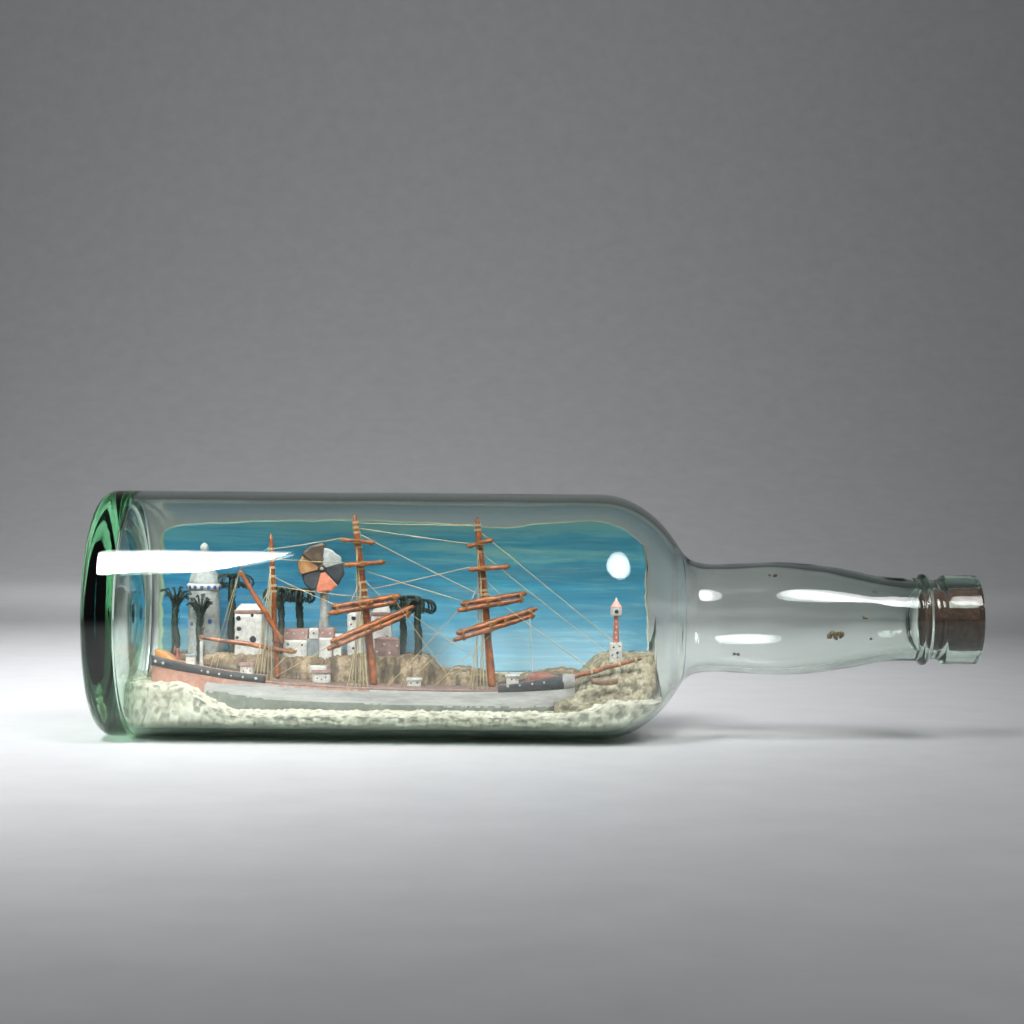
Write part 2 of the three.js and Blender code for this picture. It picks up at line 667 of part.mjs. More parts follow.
PALMS.forEach(({ x, y, foot, crown, spread }, n) => {
  stand(x - 1.4, x + 1.4, y - 1.4, y + 1.4, foot);
  const trunk = bar(at(x, y, foot), at(x, y, crown), [1.3, 1.1, 1], 6);
  const turns = [0, 1, 2, 3, 4].map((i) => 0.4 + n + (2 * Math.PI * i) / 5);
  const blades = turns.map((turn) => blade(x, y, crown - 0.6, turn, spread));
  addPart(`palm_${n + 1}`, joined([trunk, ...blades]), PALM);
});

// ---- headland with its lighthouse ----
const HEADLAND = { x: 27, y: 8, top: 29.6 };
const headlandTop = (x, y) => {
  const climb = 0.15 + 0.85 * smooth((x - 7) / 18);
  const rise = Math.min(1, Math.max(0, (y + 12.5) / 20)) ** 2;
  return 15 + (HEADLAND.top - 15) * climb * rise + 0.7 * ripple(x, y);
};

addPart('lighthouse', turnedAlongZ(HEADLAND.x + 0.8, HEADLAND.y, [
  [28, 0],
  [28, 2.3],
  [34, 2.2],
  [34.4, 1.1],
  [43.4, 0.8],
  [43.4, 0],
], 10), RED);
addPart('lighthouse_lantern', turnedAlongZ(HEADLAND.x + 0.8, HEADLAND.y, [
  [43.7, 0],
  [43.7, 1.5],
  [44.6, 2],
  [46.8, 2],
  [49.4, 0.3],
  [50.4, 0],
], 10), WHITE);

const innerLand = cavity(1.2);
const seaAbove = seaShape(GAP);
const hullPocket = hullSolid(GAP);
const cliffShape = (grow) => terrain({
  x0: -141 - grow,
  x1: 14 + grow,
  steps: 26,
  rows: 6,
  front: () => TOWN.frontY - 1.4 - grow,
  back: () => 34 + grow,
  top: (x, y) => cliffTop(x, y) + grow,
});
const headlandRaw = terrain({
  x0: 6,
  x1: 41,
  steps: 8,
  rows: 8,
  front: (x) => -14.5 + 0.03 * (x - 20) ** 2,
  back: () => 26,
  top: headlandTop,
});
const lighthousePocket = box(HEADLAND.x - 2.2, HEADLAND.x + 3.8, HEADLAND.y - 3, HEADLAND.y + 3, 27.7, 60);

addPart('putty_sea', seaShape(0).intersect(cavity(GAP)).subtract(hullPocket), PUTTY);
addPart('town_cliff', cliffShape(0).intersect(innerLand).subtract(seaAbove).subtract(hullPocket)
  .subtract(joined(pockets)), STONE);
addPart('headland', headlandRaw.intersect(innerLand).subtract(seaAbove).subtract(hullPocket)
  .subtract(cliffShape(GAP)).subtract(lighthousePocket), STONE);

// ---- painted sky on the inside of the far wall ----
const skyOutline = [
  [-142, 20.6],
  [40, 20.6],
  [40.6, 62],
  [37, 72],
  [27, 78.4],
  [10, 77.6],
  [-14, 76.4],
  [-70, 78.8],
  [-120, 77],
  [-138.5, 73.5],
];
addPart('painted_sky', cavity(GAP).subtract(cavity(GAP + 0.6)).intersect(slab(skyOutline, 4, 44)), SKY);

export default group;
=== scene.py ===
import math
import random

import bpy
import numpy as np
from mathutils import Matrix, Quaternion, Vector, noise


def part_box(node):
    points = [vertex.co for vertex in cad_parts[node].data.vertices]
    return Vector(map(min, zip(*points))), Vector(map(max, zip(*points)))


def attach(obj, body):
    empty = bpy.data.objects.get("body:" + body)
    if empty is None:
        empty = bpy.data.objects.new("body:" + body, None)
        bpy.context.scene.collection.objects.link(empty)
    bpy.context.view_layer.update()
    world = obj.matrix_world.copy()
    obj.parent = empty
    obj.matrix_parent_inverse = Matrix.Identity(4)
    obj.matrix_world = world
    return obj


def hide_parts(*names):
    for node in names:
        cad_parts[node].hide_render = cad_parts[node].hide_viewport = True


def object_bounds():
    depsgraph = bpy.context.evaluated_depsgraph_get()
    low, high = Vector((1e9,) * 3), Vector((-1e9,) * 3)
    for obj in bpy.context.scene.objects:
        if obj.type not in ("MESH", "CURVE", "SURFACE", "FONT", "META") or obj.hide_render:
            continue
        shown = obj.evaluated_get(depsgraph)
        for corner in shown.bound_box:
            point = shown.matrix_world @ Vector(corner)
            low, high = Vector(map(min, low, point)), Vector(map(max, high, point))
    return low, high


# Shapes are in millimetres until Shape.build. Materials, stage, lights and camera are in the frame's metres.
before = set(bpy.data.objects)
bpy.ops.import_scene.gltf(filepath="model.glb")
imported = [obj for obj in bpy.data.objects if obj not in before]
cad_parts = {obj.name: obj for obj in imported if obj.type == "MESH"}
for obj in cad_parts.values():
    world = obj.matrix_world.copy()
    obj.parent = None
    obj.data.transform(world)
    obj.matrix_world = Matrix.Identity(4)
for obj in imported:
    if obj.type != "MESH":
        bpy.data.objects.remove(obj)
LO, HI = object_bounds()
MM = 0.001
SCENE = "bottle_and_scene"  # the body that doesn't move
AXIS = (LO.z + HI.z) / 2 / MM  # height of the bottle's own axis
BASE_X, MOUTH_X = LO.x / MM, HI.x / MM
FIT = math.cos(math.pi / 36)  # brings a full circle down to the bounds of the CAD's 36 flats
INNER = 40.85  # inner radius of the straight wall
BOTTLE_SIDES = 168
SHOULDER_X = 21.4  # where the inner wall leaves the straight, as a part of an ellipse
SHOULDER_RUN, SHOULDER_DROP = 36.5, 53


# ---- small maths ----
def vec(x, y, z):
    return Vector((x, y, z))


def lerp(a, b, t):
    return a + (b - a) * t


def shares(count):
    """Even steps from 0 to 1."""
    return [i / count for i in range(count + 1)]


def smooth(t):
    t = min(1.0, max(0.0, t))
    return t * t * (3 - 2 * t)


def fbm(x, y, z=0.0, octaves=4):
    total, size = 0.0, 1.0
    for _ in range(octaves):
        total += size * noise.noise(Vector((x, y, z)))
        x, y, z, size = x * 2.1 + 3.7, y * 2.1 - 1.3, z * 2.1 + 5.1, size * 0.52
    return total


def spline(points, per):
    """A Catmull-Rom curve through 2D or 3D points, sampled per times a span."""
    pts = [Vector(p) for p in points]
    pts = [2 * pts[0] - pts[1], *pts, 2 * pts[-1] - pts[-2]]
    out = []
    for a, b, c, d in zip(pts, pts[1:], pts[2:], pts[3:]):
        for t in (i / per for i in range(per)):
            out.append(0.5 * (2 * b + (c - a) * t + (2 * a - 5 * b + 4 * c - d) * t * t
                              + (3 * b - a - 3 * c + d) * t ** 3))
    return [*out, pts[-2]]


def curve(points, per):
    return [tuple(p) for p in spline(points, per)]


# ---- mesh building ----
def ring_angles(sides):
    """The angles of a ring's corners."""
    return [2 * math.pi * i / sides for i in range(sides)]


def orbit(centre, side, up, radius, angle, squeeze=1.0):
    return centre + side * (radius * math.cos(angle)) + up * (radius * squeeze * math.sin(angle))


class Shape:
    def __init__(self):
        self.verts, self.faces, self.tone = [], [], None

    def ring_skin(self, rings, caps=True):
        """Faces between closed rings of the same count, and over the first and the last."""
        start, count = len(self.verts), len(rings[0])
        for ring in rings:
            self.verts += ring
        starts = range(start, len(self.verts), count)
        for a, b in zip(starts, starts[1:]):
            for i in range(count):
                j = (i + 1) % count
                self.faces.append((a + i, a + j, b + j, b + i))
        if caps:
            self.faces.append(tuple(starts[0] + i for i in reversed(range(count))))
            self.faces.append(tuple(starts[-1] + i for i in range(count)))
        return self

    def tube(self, path, radii, sides=8, rough=0.0, seed=0.0):
        """A rod along a path, with one radius or a radius for each point."""
        path = [Vector(p) for p in path]
        if not isinstance(radii, (list, tuple)):
            radii = [radii] * len(path)
        tangent = (path[1] - path[0]).normalized()
        side = tangent.orthogonal().normalized()
        rings, run = [], 0.0
        for k, p in enumerate(path):
            ahead = (path[min(k + 1, len(path) - 1)] - path[max(k - 1, 0)]).normalized()
            side = tangent.rotation_difference(ahead) @ side
            tangent = ahead
            up = tangent.cross(side)
            run += (p - path[max(k - 1, 0)]).length
            ring = []
            for angle in ring_angles(sides):
                r = radii[k]
                if rough:
                    grain = vec(run * 0.25, 1.4 * math.cos(angle), 1.4 * math.sin(angle) + seed)
                    r *= 1 + rough * noise.noise(grain)
                ring.append(orbit(p, side, up, r, angle))
            rings.append(ring)
        return self.ring_skin(rings)

    def coil(self, centre, axis, radius, turns, pitch, thick, squeeze=1.0):
        """Thread wound round a spar, with 14 points to a turn."""
        axis = Vector(axis).normalized()
        side = axis.cross(vec(0, 1, 0)).normalized()
        front = side.cross(axis)
        path = []
        for i in range(int(turns * 14) + 1):
            middle = Vector(centre) + axis * ((i / 14 - turns / 2) * pitch)
            path.append(orbit(middle, side, front, radius, 2 * math.pi * i / 14, squeeze))
        return self.tube(path, thick, 5)

    def block(self, x0, x1, y0, y1, z0, z1, wobble, cuts=1, lean=0.0):
        """A box of cut faces, slightly out of true, as if carved. It narrows upward by lean."""
        rings, cells = [], cuts * 2
        for k in range(cells + 1):
            z, inset = lerp(z0, z1, k / cells), lean * k / cells
            west, east, south, north = x0 + inset, x1 - inset, y0 + inset, y1 - inset
            corners = [(west, south), (east, south), (east, north), (west, north)]
            ring = []
            for (ax, ay), (bx, by) in zip(corners, corners[1:] + corners[:1]):
                for t in (i / cells for i in range(cells)):
                    p = vec(lerp(ax, bx, t), lerp(ay, by, t), z)
                    q = p * 0.7
                    off = vec(noise.noise(q), noise.noise(q + vec(9, 0, 0)), 0.6 * noise.noise(q + vec(0, 9, 0)))
                    p += wobble * off
                    ring.append(p)
            rings.append(ring)
        return self.ring_skin(rings)

    def disc(self, centre, normal, radius, thick, sides, seed):
        """A blob of paint: a low dome, a little out of round."""
        normal = Vector(normal).normalized()
        side = normal.orthogonal().normalized()
        up = normal.cross(side)
        rings = []
        for share, lift in ((1.0, -0.3), (1.0, 0.35), (0.6, 0.9), (0.12, 1.0)):
            ring = []
            for angle in ring_angles(sides):
                edge = noise.noise(vec(math.cos(angle), math.sin(angle), seed + radius))
                r = radius * share * (1 + 0.2 * edge)
                ring.append(orbit(Vector(centre), side, up, r, angle) + normal * (lift * thick))
            rings.append(ring)
        return self.ring_skin(rings)

    def turned(self, x, y, profile, sides, wobble, seed=0.0):
        """A turned piece, upright at X and Y, from rows of height and radius."""
        rings = []
        for z, r in profile:
            ring = []
            for a in ring_angles(sides):
                rr = r * (1 + wobble * noise.noise(vec(1.5 * math.cos(a), 1.5 * math.sin(a), z * 0.35 + seed)))
                ring.append(vec(x + rr * math.cos(a), y + rr * math.sin(a), z))
            rings.append(ring)
        return self.ring_skin(rings)

    def build(self, name, material, slot, *nodes, body=SCENE):
        """Makes the piece, in metres, which stands in for the CAD nodes named."""
        mesh = bpy.data.meshes.new(name)
        mesh.from_pydata([tuple(Vector(v) * MM) for v in self.verts], [], self.faces)
        tone = mesh.attributes.new("tone", "FLOAT", "POINT")
        tone.data.foreach_set("value", self.tone or [0.0] * len(self.verts))
        mesh.materials.append(material)
        mesh.polygons.foreach_set("use_smooth", [True] * len(mesh.polygons))
        mesh.update()
        obj = bpy.data.objects.new(name, mesh)
        bpy.context.scene.collection.objects.link(obj)
        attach(obj, body)
        if nodes:
            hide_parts(*nodes)
        return obj


# ---- materials ----
class Nodes:
    """A material's node tree. Patterns are placed by object coordinates."""
    def __init__(self, name):
        self.material = bpy.data.materials.new(name)
        self.material.use_nodes = True
        self.tree = self.material.node_tree
        self.tree.nodes.clear()
        self.out = self.add("ShaderNodeOutputMaterial")
        self.place = self.add("ShaderNodeTexCoord").outputs["Object"]

    def add(self, kind, inputs=(), **values):
        node = self.tree.nodes.new(kind)
        for key, value in values.items():
            setattr(node, key, value)
        for key, value in dict(inputs).items():
            self.feed(value, node.inputs[key])
        return node

    def feed(self, value, socket):
        """Sets a number, vector or colour on a socket, or links an output to it."""
        if isinstance(value, (int, float)):
            socket.default_value = value
        elif isinstance(value, tuple):
            socket.default_value = (*value, 1) if socket.type == "RGBA" else value
        else:
            self.tree.links.new(value, socket)

    def noise(self, scale, detail=5.0, stretch=(1, 1, 1), rough=0.6, distortion=0.0):
        mapping = self.add("ShaderNodeMapping", {"Vector": self.place, "Scale": stretch})
        return self.add("ShaderNodeTexNoise", {
            "Vector": mapping.outputs[0], "Scale": scale, "Detail": detail,
            "Roughness": rough, "Distortion": distortion}).outputs["Fac"]

    def ramp(self, source, *stops):
        ramp = self.add("ShaderNodeValToRGB", {0: source})
        elements = ramp.color_ramp.elements
        while len(elements) < len(stops):
            elements.new(0.5)
        for element, (place, color) in zip(elements, stops):
            element.position = place
            element.color = (*color, 1) if isinstance(color, tuple) else (color, color, color, 1)
        return ramp.outputs[0]

    def tone(self):
        return self.add("ShaderNodeAttribute", attribute_name="tone").outputs["Fac"]

    def mix(self, fac, a, b):
        return self.add("ShaderNodeMix", {0: fac, 6: a, 7: b}, data_type="RGBA").outputs[2]

    def maths(self, operation, a, b):
        return self.add("ShaderNodeMath", {0: a, 1: b}, operation=operation).outputs[0]

    def swing(self, base, source, size):
        """The base, with the source's sway about its middle added, size times over."""
        return self.maths("ADD", base, self.maths("MULTIPLY", self.maths("SUBTRACT", source, 0.5), size))

    def bump(self, height, strength, distance):
        inputs = {"Height": height, "Strength": strength, "Distance": distance}
        return self.add("ShaderNodeBump", inputs).outputs[0]

    def finish(self, color, rough, height=None, strength=0.3, distance=0.0002, coat=0.0, specular=0.5):
        shader = self.add("ShaderNodeBsdfPrincipled", {
            "Base Color": color, "Roughness": rough, "Coat Weight": coat,
            "Coat Roughness": 0.12, "Specular IOR Level": specular})
        if height is not None:
            self.feed(self.bump(height, strength, distance), shader.inputs["Normal"])
        self.feed(shader.outputs[0], self.out.inputs["Surface"])
        return self.material


def srgb(*color):
    """An 8-bit colour as the linear one that the shader wants."""
    shares = [c / 255 for c in color]
    return tuple(c / 12.92 if c < 0.04045 else ((c + 0.055) / 1.055) ** 2.4 for c in shares)


def painted(name, low, mid, high, scale=420, rough=(0.45, 0.7), stretch=(1, 1, 1)):
    """Hand-painted wood or card: three shades in patches, finer streaks, a little relief."""
    n = Nodes(name)
    low, mid, high = srgb(*low), srgb(*mid), srgb(*high)
    patches = n.noise(scale, 6, stretch)
    fine = n.noise(scale * 5, 4, stretch)
    color = n.ramp(patches, (0.32, low), (0.5, mid), (0.68, high))
    color = n.mix(0.25, color, n.ramp(fine, (0.35, tuple(c * 0.55 for c in mid)), (0.65, high)))
    return n.finish(color, n.ramp(fine, (0.3, rough[0]), (0.7, rough[1])), fine, 0.25, 0.00015)


def spar_wood(name, low, mid, high):
    """Varnished wood: long grain, darker knots, a clear coat."""
    n = Nodes(name)
    low, mid, high = srgb(*low), srgb(*mid), srgb(*high)
    grain = n.noise(900, 6, (0.35, 1, 0.35), 0.65)
    blotch = n.noise(230, 4)
    color = n.ramp(grain, (0.3, low), (0.5, mid), (0.7, high))
    color = n.mix(n.ramp(blotch, (0.45, 0.0), (0.7, 0.6)), color, low)
    return n.finish(color, n.ramp(blotch, (0.3, 0.28), (0.7, 0.5)), grain, 0.35, 0.0002, 0.6)


def ground(name, dark, mid, light, scale=520):
    """Rough filler, with painted shade where the tone attribute is low: sunken and low crumbs are darker."""
    n = Nodes(name)
    dark, mid, light = srgb(*dark), srgb(*mid), srgb(*light)
    patches = n.noise(scale * 0.25, 5)
    grit = n.noise(scale, 6, rough=0.75)
    both = n.maths("ADD", n.maths("MULTIPLY", patches, 0.6), n.maths("MULTIPLY", grit, 0.4))
    color = n.ramp(both, (0.34, dark), (0.5, mid), (0.66, light))
    # painted shade: towards half the dark colour where the tone is low
    color = n.mix(n.ramp(n.tone(), (0.15, 0.75), (0.55, 0.0)), color, tuple(c * 0.5 for c in dark))
    return n.finish(color, 0.92, grit, 0.6, 0.0005, 0.0, 0.2)


def thread(name, dark, pale, stained):
    n = Nodes(name)
    fibres = n.noise(4000, 3)
    stain = n.noise(60, 3)
    color = n.ramp(fibres, (0.3, srgb(*dark)), (0.7, srgb(*pale)))
    color = n.mix(n.ramp(stain, (0.4, 0.0), (0.7, 0.5)), color, srgb(*stained))
    return n.finish(color, 0.85, fibres, 0.3, 0.0001)


WHITE = painted("white_paint", (146, 141, 138), (186, 181, 178), (212, 207, 205))
HULL_WHITE = painted("hull_paint", (122, 119, 119), (158, 154, 155), (182, 177, 178), 260, stretch=(0.2, 1, 1.6))
# A grey for painted shade along the bottom of the hull, not a paint of the ship.
PAINTED_HULL_SHADE = painted("painted_hull_shade", (84, 86, 80), (108, 111, 104), (130, 133, 126), 260)
BLACK = painted("black_paint", (22, 22, 27), (34, 34, 40), (50, 50, 58), 300, (0.35, 0.6))
PINK = painted("pink_paint", (118, 86, 82), (144, 108, 103), (164, 130, 124))
DECK = painted("deck_paint", (96, 70, 66), (122, 92, 86), (142, 112, 104))
ORANGE = painted("orange_paint", (160, 92, 44), (184, 118, 62), (200, 142, 86))
RED = painted("red_paint", (98, 52, 44), (128, 74, 62), (150, 98, 82))
BLUE = painted("blue_paint", (30, 54, 108), (44, 76, 134), (66, 100, 156))
SALMON = painted("salmon_paint", (176, 92, 68), (198, 114, 88), (212, 136, 108))
COUNTER = painted("counter_paint", (140, 92, 80), (164, 114, 100), (182, 136, 120))
PALM = painted("palm_paint", (14, 24, 20), (24, 38, 32), (44, 62, 50), 500, (0.4, 0.75))
TAN_CARD = painted("tan_card", (116, 76, 42), (146, 100, 60), (168, 124, 82), 300)
BROWN_CARD = painted("brown_card", (34, 24, 20), (58, 42, 32), (88, 66, 48), 300)
GREY_CARD = painted("grey_card", (116, 118, 118), (150, 152, 152), (178, 180, 180), 300)
DARK_CARD = painted("dark_card", (26, 28, 32), (42, 44, 50), (66, 68, 72), 300)
GREY = painted("grey_paint", (86, 90, 94), (112, 116, 120), (138, 142, 144))
WOOD = spar_wood("varnished_spar", (56, 27, 10), (132, 66, 24), (174, 98, 42))
CLIFF = ground("tan_filler", (84, 70, 54), (124, 105, 84), (182, 160, 136))
MOUND = ground("pale_filler", (94, 84, 66), (144, 133, 113), (190, 181, 160))
PUTTY = ground("cream_putty", (166, 158, 142), (208, 200, 185), (234, 225, 213), 380)
THREAD = thread("cotton_thread", (140, 120, 90), (196, 180, 146), (126, 100, 66))
LASHING = thread("tan_lashing", (108, 66, 30), (160, 114, 66), (104, 58, 24))


def cork_material():
    n = Nodes("old_cork")
    cells = n.noise(700, 6, rough=0.7)
    patches = n.noise(130, 4)
    pits = n.noise(330, 2)
    color = n.ramp(cells, (0.3, srgb(34, 21, 16)), (0.5, srgb(66, 42, 31)), (0.72, srgb(104, 72, 54)))
    color = n.mix(n.ramp(patches, (0.42, 0.0), (0.7, 0.75)), color, srgb(50, 26, 20))
    color = n.mix(n.ramp(pits, (0.28, 1.0), (0.36, 0.0)), color, srgb(18, 11, 9))
    return n.finish(color, 0.85, n.mix(0.5, cells, pits), 0.8, 0.0006)


def sky_material():
    """Brush strokes along X: deeper blue to the left, paler low down, and a cream rim by the tone attribute."""
    n = Nodes("brushed_sky")
    split = n.add("ShaderNodeSeparateXYZ", {0: n.place})
    low, high, left, length = 0.020, 0.080, -0.145, 0.19
    height = n.maths("DIVIDE", n.maths("SUBTRACT", split.outputs["Z"], low), high - low)
    along = n.maths("DIVIDE", n.maths("ADD", split.outputs["X"], -left), length)
    strokes = n.noise(26, 6, (0.45, 1, 5.5), 0.7, 0.6)
    fine = n.noise(90, 6, (0.35, 1, 6), 0.72, 0.4)
    blend = n.swing(height, strokes, 1.3)
    base = n.ramp(blend, (0.02, srgb(92, 132, 150)), (0.3, srgb(76, 132, 158)), (0.55, srgb(58, 136, 168)),
                  (0.8, srgb(76, 166, 196)), (1.0, srgb(142, 196, 194)))
    deep = n.ramp(blend, (0.1, srgb(66, 124, 152)), (0.5, srgb(36, 122, 176)), (0.9, srgb(52, 152, 194)))
    color = n.mix(n.ramp(along, (0.05, 0.75), (0.6, 0.0)), base, deep)
    color = n.mix(n.ramp(fine, (0.5, 0.0), (0.74, 0.55)), color, srgb(138, 178, 184))
    color = n.mix(n.ramp(fine, (0.28, 0.4), (0.46, 0.0)), color, srgb(34, 98, 130))
    crest = n.ramp(n.swing(height, strokes, 0.35), (0.85, 0.0), (0.94, 0.7))
    color = n.mix(crest, color, srgb(122, 184, 190))
    rim = n.ramp(n.swing(n.tone(), fine, 0.5), (0.42, 0.0), (0.62, 1.0))
    color = n.mix(rim, color, srgb(176, 180, 160))
    return n.finish(color, 0.5, fine, 0.35, 0.0002)


def glass_material():
    """Old green-tinted glass. Lamps reach the scene inside, dimmer where the wall is seen edge on."""
    n = Nodes("green_glass")
    glass = n.add("ShaderNodeBsdfPrincipled", {
        "Base Color": (0.985, 1.0, 0.99), "Transmission Weight": 1.0, "IOR": 1.5, "Roughness": 0.0,
        "Normal": n.bump(n.noise(45, 3, (0.3, 1, 1)), 0.06, 0.0004)})
    facing = n.add("ShaderNodeLayerWeight", {"Blend": 0.5}).outputs["Facing"]
    shade = n.ramp(facing, (0.0, (0.885, 0.865, 0.87)), (0.5, (0.7, 0.675, 0.685)), (1.0, (0.05, 0.05, 0.05)))
    clear = n.add("ShaderNodeBsdfTransparent", {"Color": shade})
    shadow = n.add("ShaderNodeLightPath").outputs["Is Shadow Ray"]
    mix = n.add("ShaderNodeMixShader", {0: shadow, 1: glass.outputs[0], 2: clear.outputs[0]})
    n.feed(mix.outputs[0], n.out.inputs["Surface"])
    volume = n.add("ShaderNodeVolumeAbsorption", {"Color": (0.34, 0.73, 0.48), "Density": 38.0})
    n.feed(volume.outputs[0], n.out.inputs["Volume"])
    return n.material


# ---- bottle ----
def inner_radius(x):
    """Radius of the inside wall, from the base to the start of the neck."""
    run = max(0.0, x - SHOULDER_X)
    return INNER - SHOULDER_DROP * (1 - math.sqrt(max(0.0, 1 - (run / SHOULDER_RUN) ** 2)))


def shoulder(run_to, length, drop, radius, steps):
    """The start of the shoulder: a part of an ellipse, as points of X and radius."""
    runs = [run_to * i / steps for i in range(steps + 1)]
    return [(SHOULDER_X + run, radius - drop * (1 - math.sqrt(1 - (run / length) ** 2))) for run in runs]


def arc(cx, cr, radius, a0, a1, steps):
    angles = [lerp(a0, a1, i / steps) for i in range(steps + 1)]
    return [(cx + radius * math.cos(a), cr + radius * math.sin(a)) for a in angles]


def bottle():
    b, m = BASE_X, MOUTH_X
    outer = curve([(b + 8.8, 0.001), (b + 8.2, 10), (b + 6.0, 21), (b + 2.0, 31), (b, 37.4)], 10)[:-1]
    outer = [(x + 0.05 * smooth((r - 14) / 12) * math.sin(2.3 * r), r) for x, r in outer]
    outer += arc(b + 6, 38, 6, math.pi, math.pi / 2, 14)
    outer += [(x, 44) for x in np.linspace(b + 12, 17, 30)]
    outer += shoulder(27, 38, 56, 44, 14)
    outer += curve([(48.4, 27.4), (51.1, 23.4), (53.9, 20.9), (57.2, 19.8), (64, 19.3), (75, 19.9), (86, 20.3),
                    (93, 19.95), (100, 19.25), (111, 17.6), (121.7, 15.5), (128, 15.0), (134.4, 14.95)], 4)[1:]
    outer += arc(136.8, 15.0, 1.45, math.pi * 0.94, 0.05, 10)
    outer += curve([(138.9, 14.5), (140.6, 14.2), (142.4, 14.6)], 4)
    outer += arc(144.3, 14.9, 1.1, math.pi * 0.9, math.pi / 2, 5)
    outer += [(x, 16.0 + 0.06 * math.sin(x)) for x in np.linspace(146, m - 1.9, 6)]
    outer += arc(m - 1.1, 14.9, 1.1, math.pi / 2, 0, 6)
    outer += arc(m - 0.8, 12.2, 0.8, 0, -math.pi / 2, 5)
    inner = [(x, 11.4) for x in np.linspace(m - 3, 133, 5)]
    inner += curve([(131, 11.4), (122, 12.6), (111, 14.9), (100, 16.9), (86, 18.4), (72, 17.8), (62, 17.6),
                    (58.5, 17.75), (55.5, 18.3), (53.5, 19.1), (51.8, 20.3), (50, 22.1), (48.6, 23.6)], 4)
    inner += reversed(shoulder(26.5, SHOULDER_RUN, SHOULDER_DROP, INNER, 12))
    inner += [(x, INNER) for x in np.linspace(17, b + 14, 30)]
    inner += arc(b + 13.2, INNER - 2.2, 2.2, math.pi / 2, math.pi, 6)
    inner += curve([(b + 11.05, 37), (b + 11.4, 31), (b + 12.2, 22), (b + 14, 12), (b + 15.2, 0.001)], 5)
    rings = []
    for k, (x, r) in enumerate(outer + inner):
        outside = k < len(outer)
        ring = []
        for a in ring_angles(BOTTLE_SIDES):
            wave = 0.05 * math.sin(3 * a + x / 13) + 0.04 * math.sin(5 * a - x / 8 + 1)
            wave += 0.02 * math.sin(11 * a + x / 5)
            # The outside only waves inward, so that it stays in the CAD's bounds.
            wave = min(0.0, wave - 0.05) if outside else wave * 0.6
            rr = r * (FIT if outside else 1.0) + wave * min(1.0, r / 20)
            ring.append(vec(x, rr * math.cos(a), AXIS + rr * math.sin(a)))
        rings.append(ring)
    mesh = Shape().ring_skin(rings).build("bottle_glass", glass_material(), "glass", "bottle").data
    if sum(f.area * f.normal.x for f in mesh.polygons if f.center.x > MOUTH_X * MM * 0.9) < 0:
        mesh.flip_normals()


bottle()


def cork():
    lo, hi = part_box("cork")
    rings = []
    stations = [(0.0, 0.15), (0.0, 0.6), (0.02, 0.93), (0.06, 0.985)] + [(t, 1.0) for t in np.linspace(0.1, 0.94, 26)]
    stations += [(0.985, 0.98), (1.0, 0.92), (1.0, 0.55), (1.0, 0.15)]
    for t, share in stations:
        x = lerp(lo.x / MM, hi.x / MM, t)
        radius = lerp(10.3, 11.05, min(1, 2 * t)) * share
        ring = []
        for a in ring_angles(56):
            n = fbm(x * 0.35, 3 * math.cos(a), 3 * math.sin(a))
            pit = max(0.0, fbm(x * 0.9 + 40, 6 * math.cos(a) * share, 6 * math.sin(a) * share, 3) - 0.28)
            r = radius * (1 + 0.012 * n) - 1.1 * pit
            if share < 0.95:
                sink = (0.3 * n + 0.6 * pit) * (1 if t < 0.5 else -1)
            else:
                sink = 0
            ring.append(vec(x + sink, r * math.cos(a), AXIS + r * math.sin(a)))
        rings.append(ring)
    Shape().ring_skin(rings).build("cork_stopper", cork_material(), "cork", "cork", body="cork")


cork()


# ---- painted sky on the inside of the far wall ----
def sky():
    columns, rows = 150, 60
    width, height, thick = 190, 58, 0.22
    top = spline([(0.0, 72.0), (0.03, 75.8), (0.12, 77.4), (0.4, 79.0), (0.62, 77.6), (0.72, 76.6), (0.88, 79.4),
                  (0.95, 77.2), (1.0, 70.5)], 20)
    rings, tones = [], []
    for t in shares(columns):
        upper, lower, row = [], [], []
        z_top = float(np.interp(t, [p[0] for p in top], [p[1] for p in top])) + 0.5 * fbm(t * 16, 2.0)
        side, rim = min(t, 1 - t) * width, 3.4 if t < 0.5 else 1.5
        for v in shares(rows):
            left = -142.6 + 1.6 * fbm(v * 5, 7.0) + 2.2 * (v ** 6)
            right = 40.6 + 1.0 * fbm(v * 4, 11.0) - 2.6 * (v ** 5)
            x = lerp(left, right, t)
            outer = inner_radius(x) - 0.12
            z = min(lerp(20.8, z_top, v), AXIS + outer - 0.5)
            for radius, into in ((outer, upper), (outer - thick, lower)):
                into.append(vec(x, math.sqrt(max(0.0, radius ** 2 - (z - AXIS) ** 2)), z))
            row.append(max(0.0, 1.0 - min(side / rim, (1 - v) * height)))  # 1 at the edge, 0 inside the rim
        rings.append(upper + lower[::-1])
        tones += row + row[::-1]
    shape = Shape().ring_skin(rings)
    shape.tone = tones
    shape.build("sky_paint", sky_material(), "sky", "painted_sky")


sky()


# ---- rough ground ----
def inside(p, gap=0.12):
    """The point, drawn back to the inner wall where it would pass it."""
    limit = inner_radius(p.x) - gap
    away = math.hypot(p.y, p.z - AXIS)
    if away > limit:
        p.y *= limit / away
        p.z = AXIS + (p.z - AXIS) * limit / away
    return p


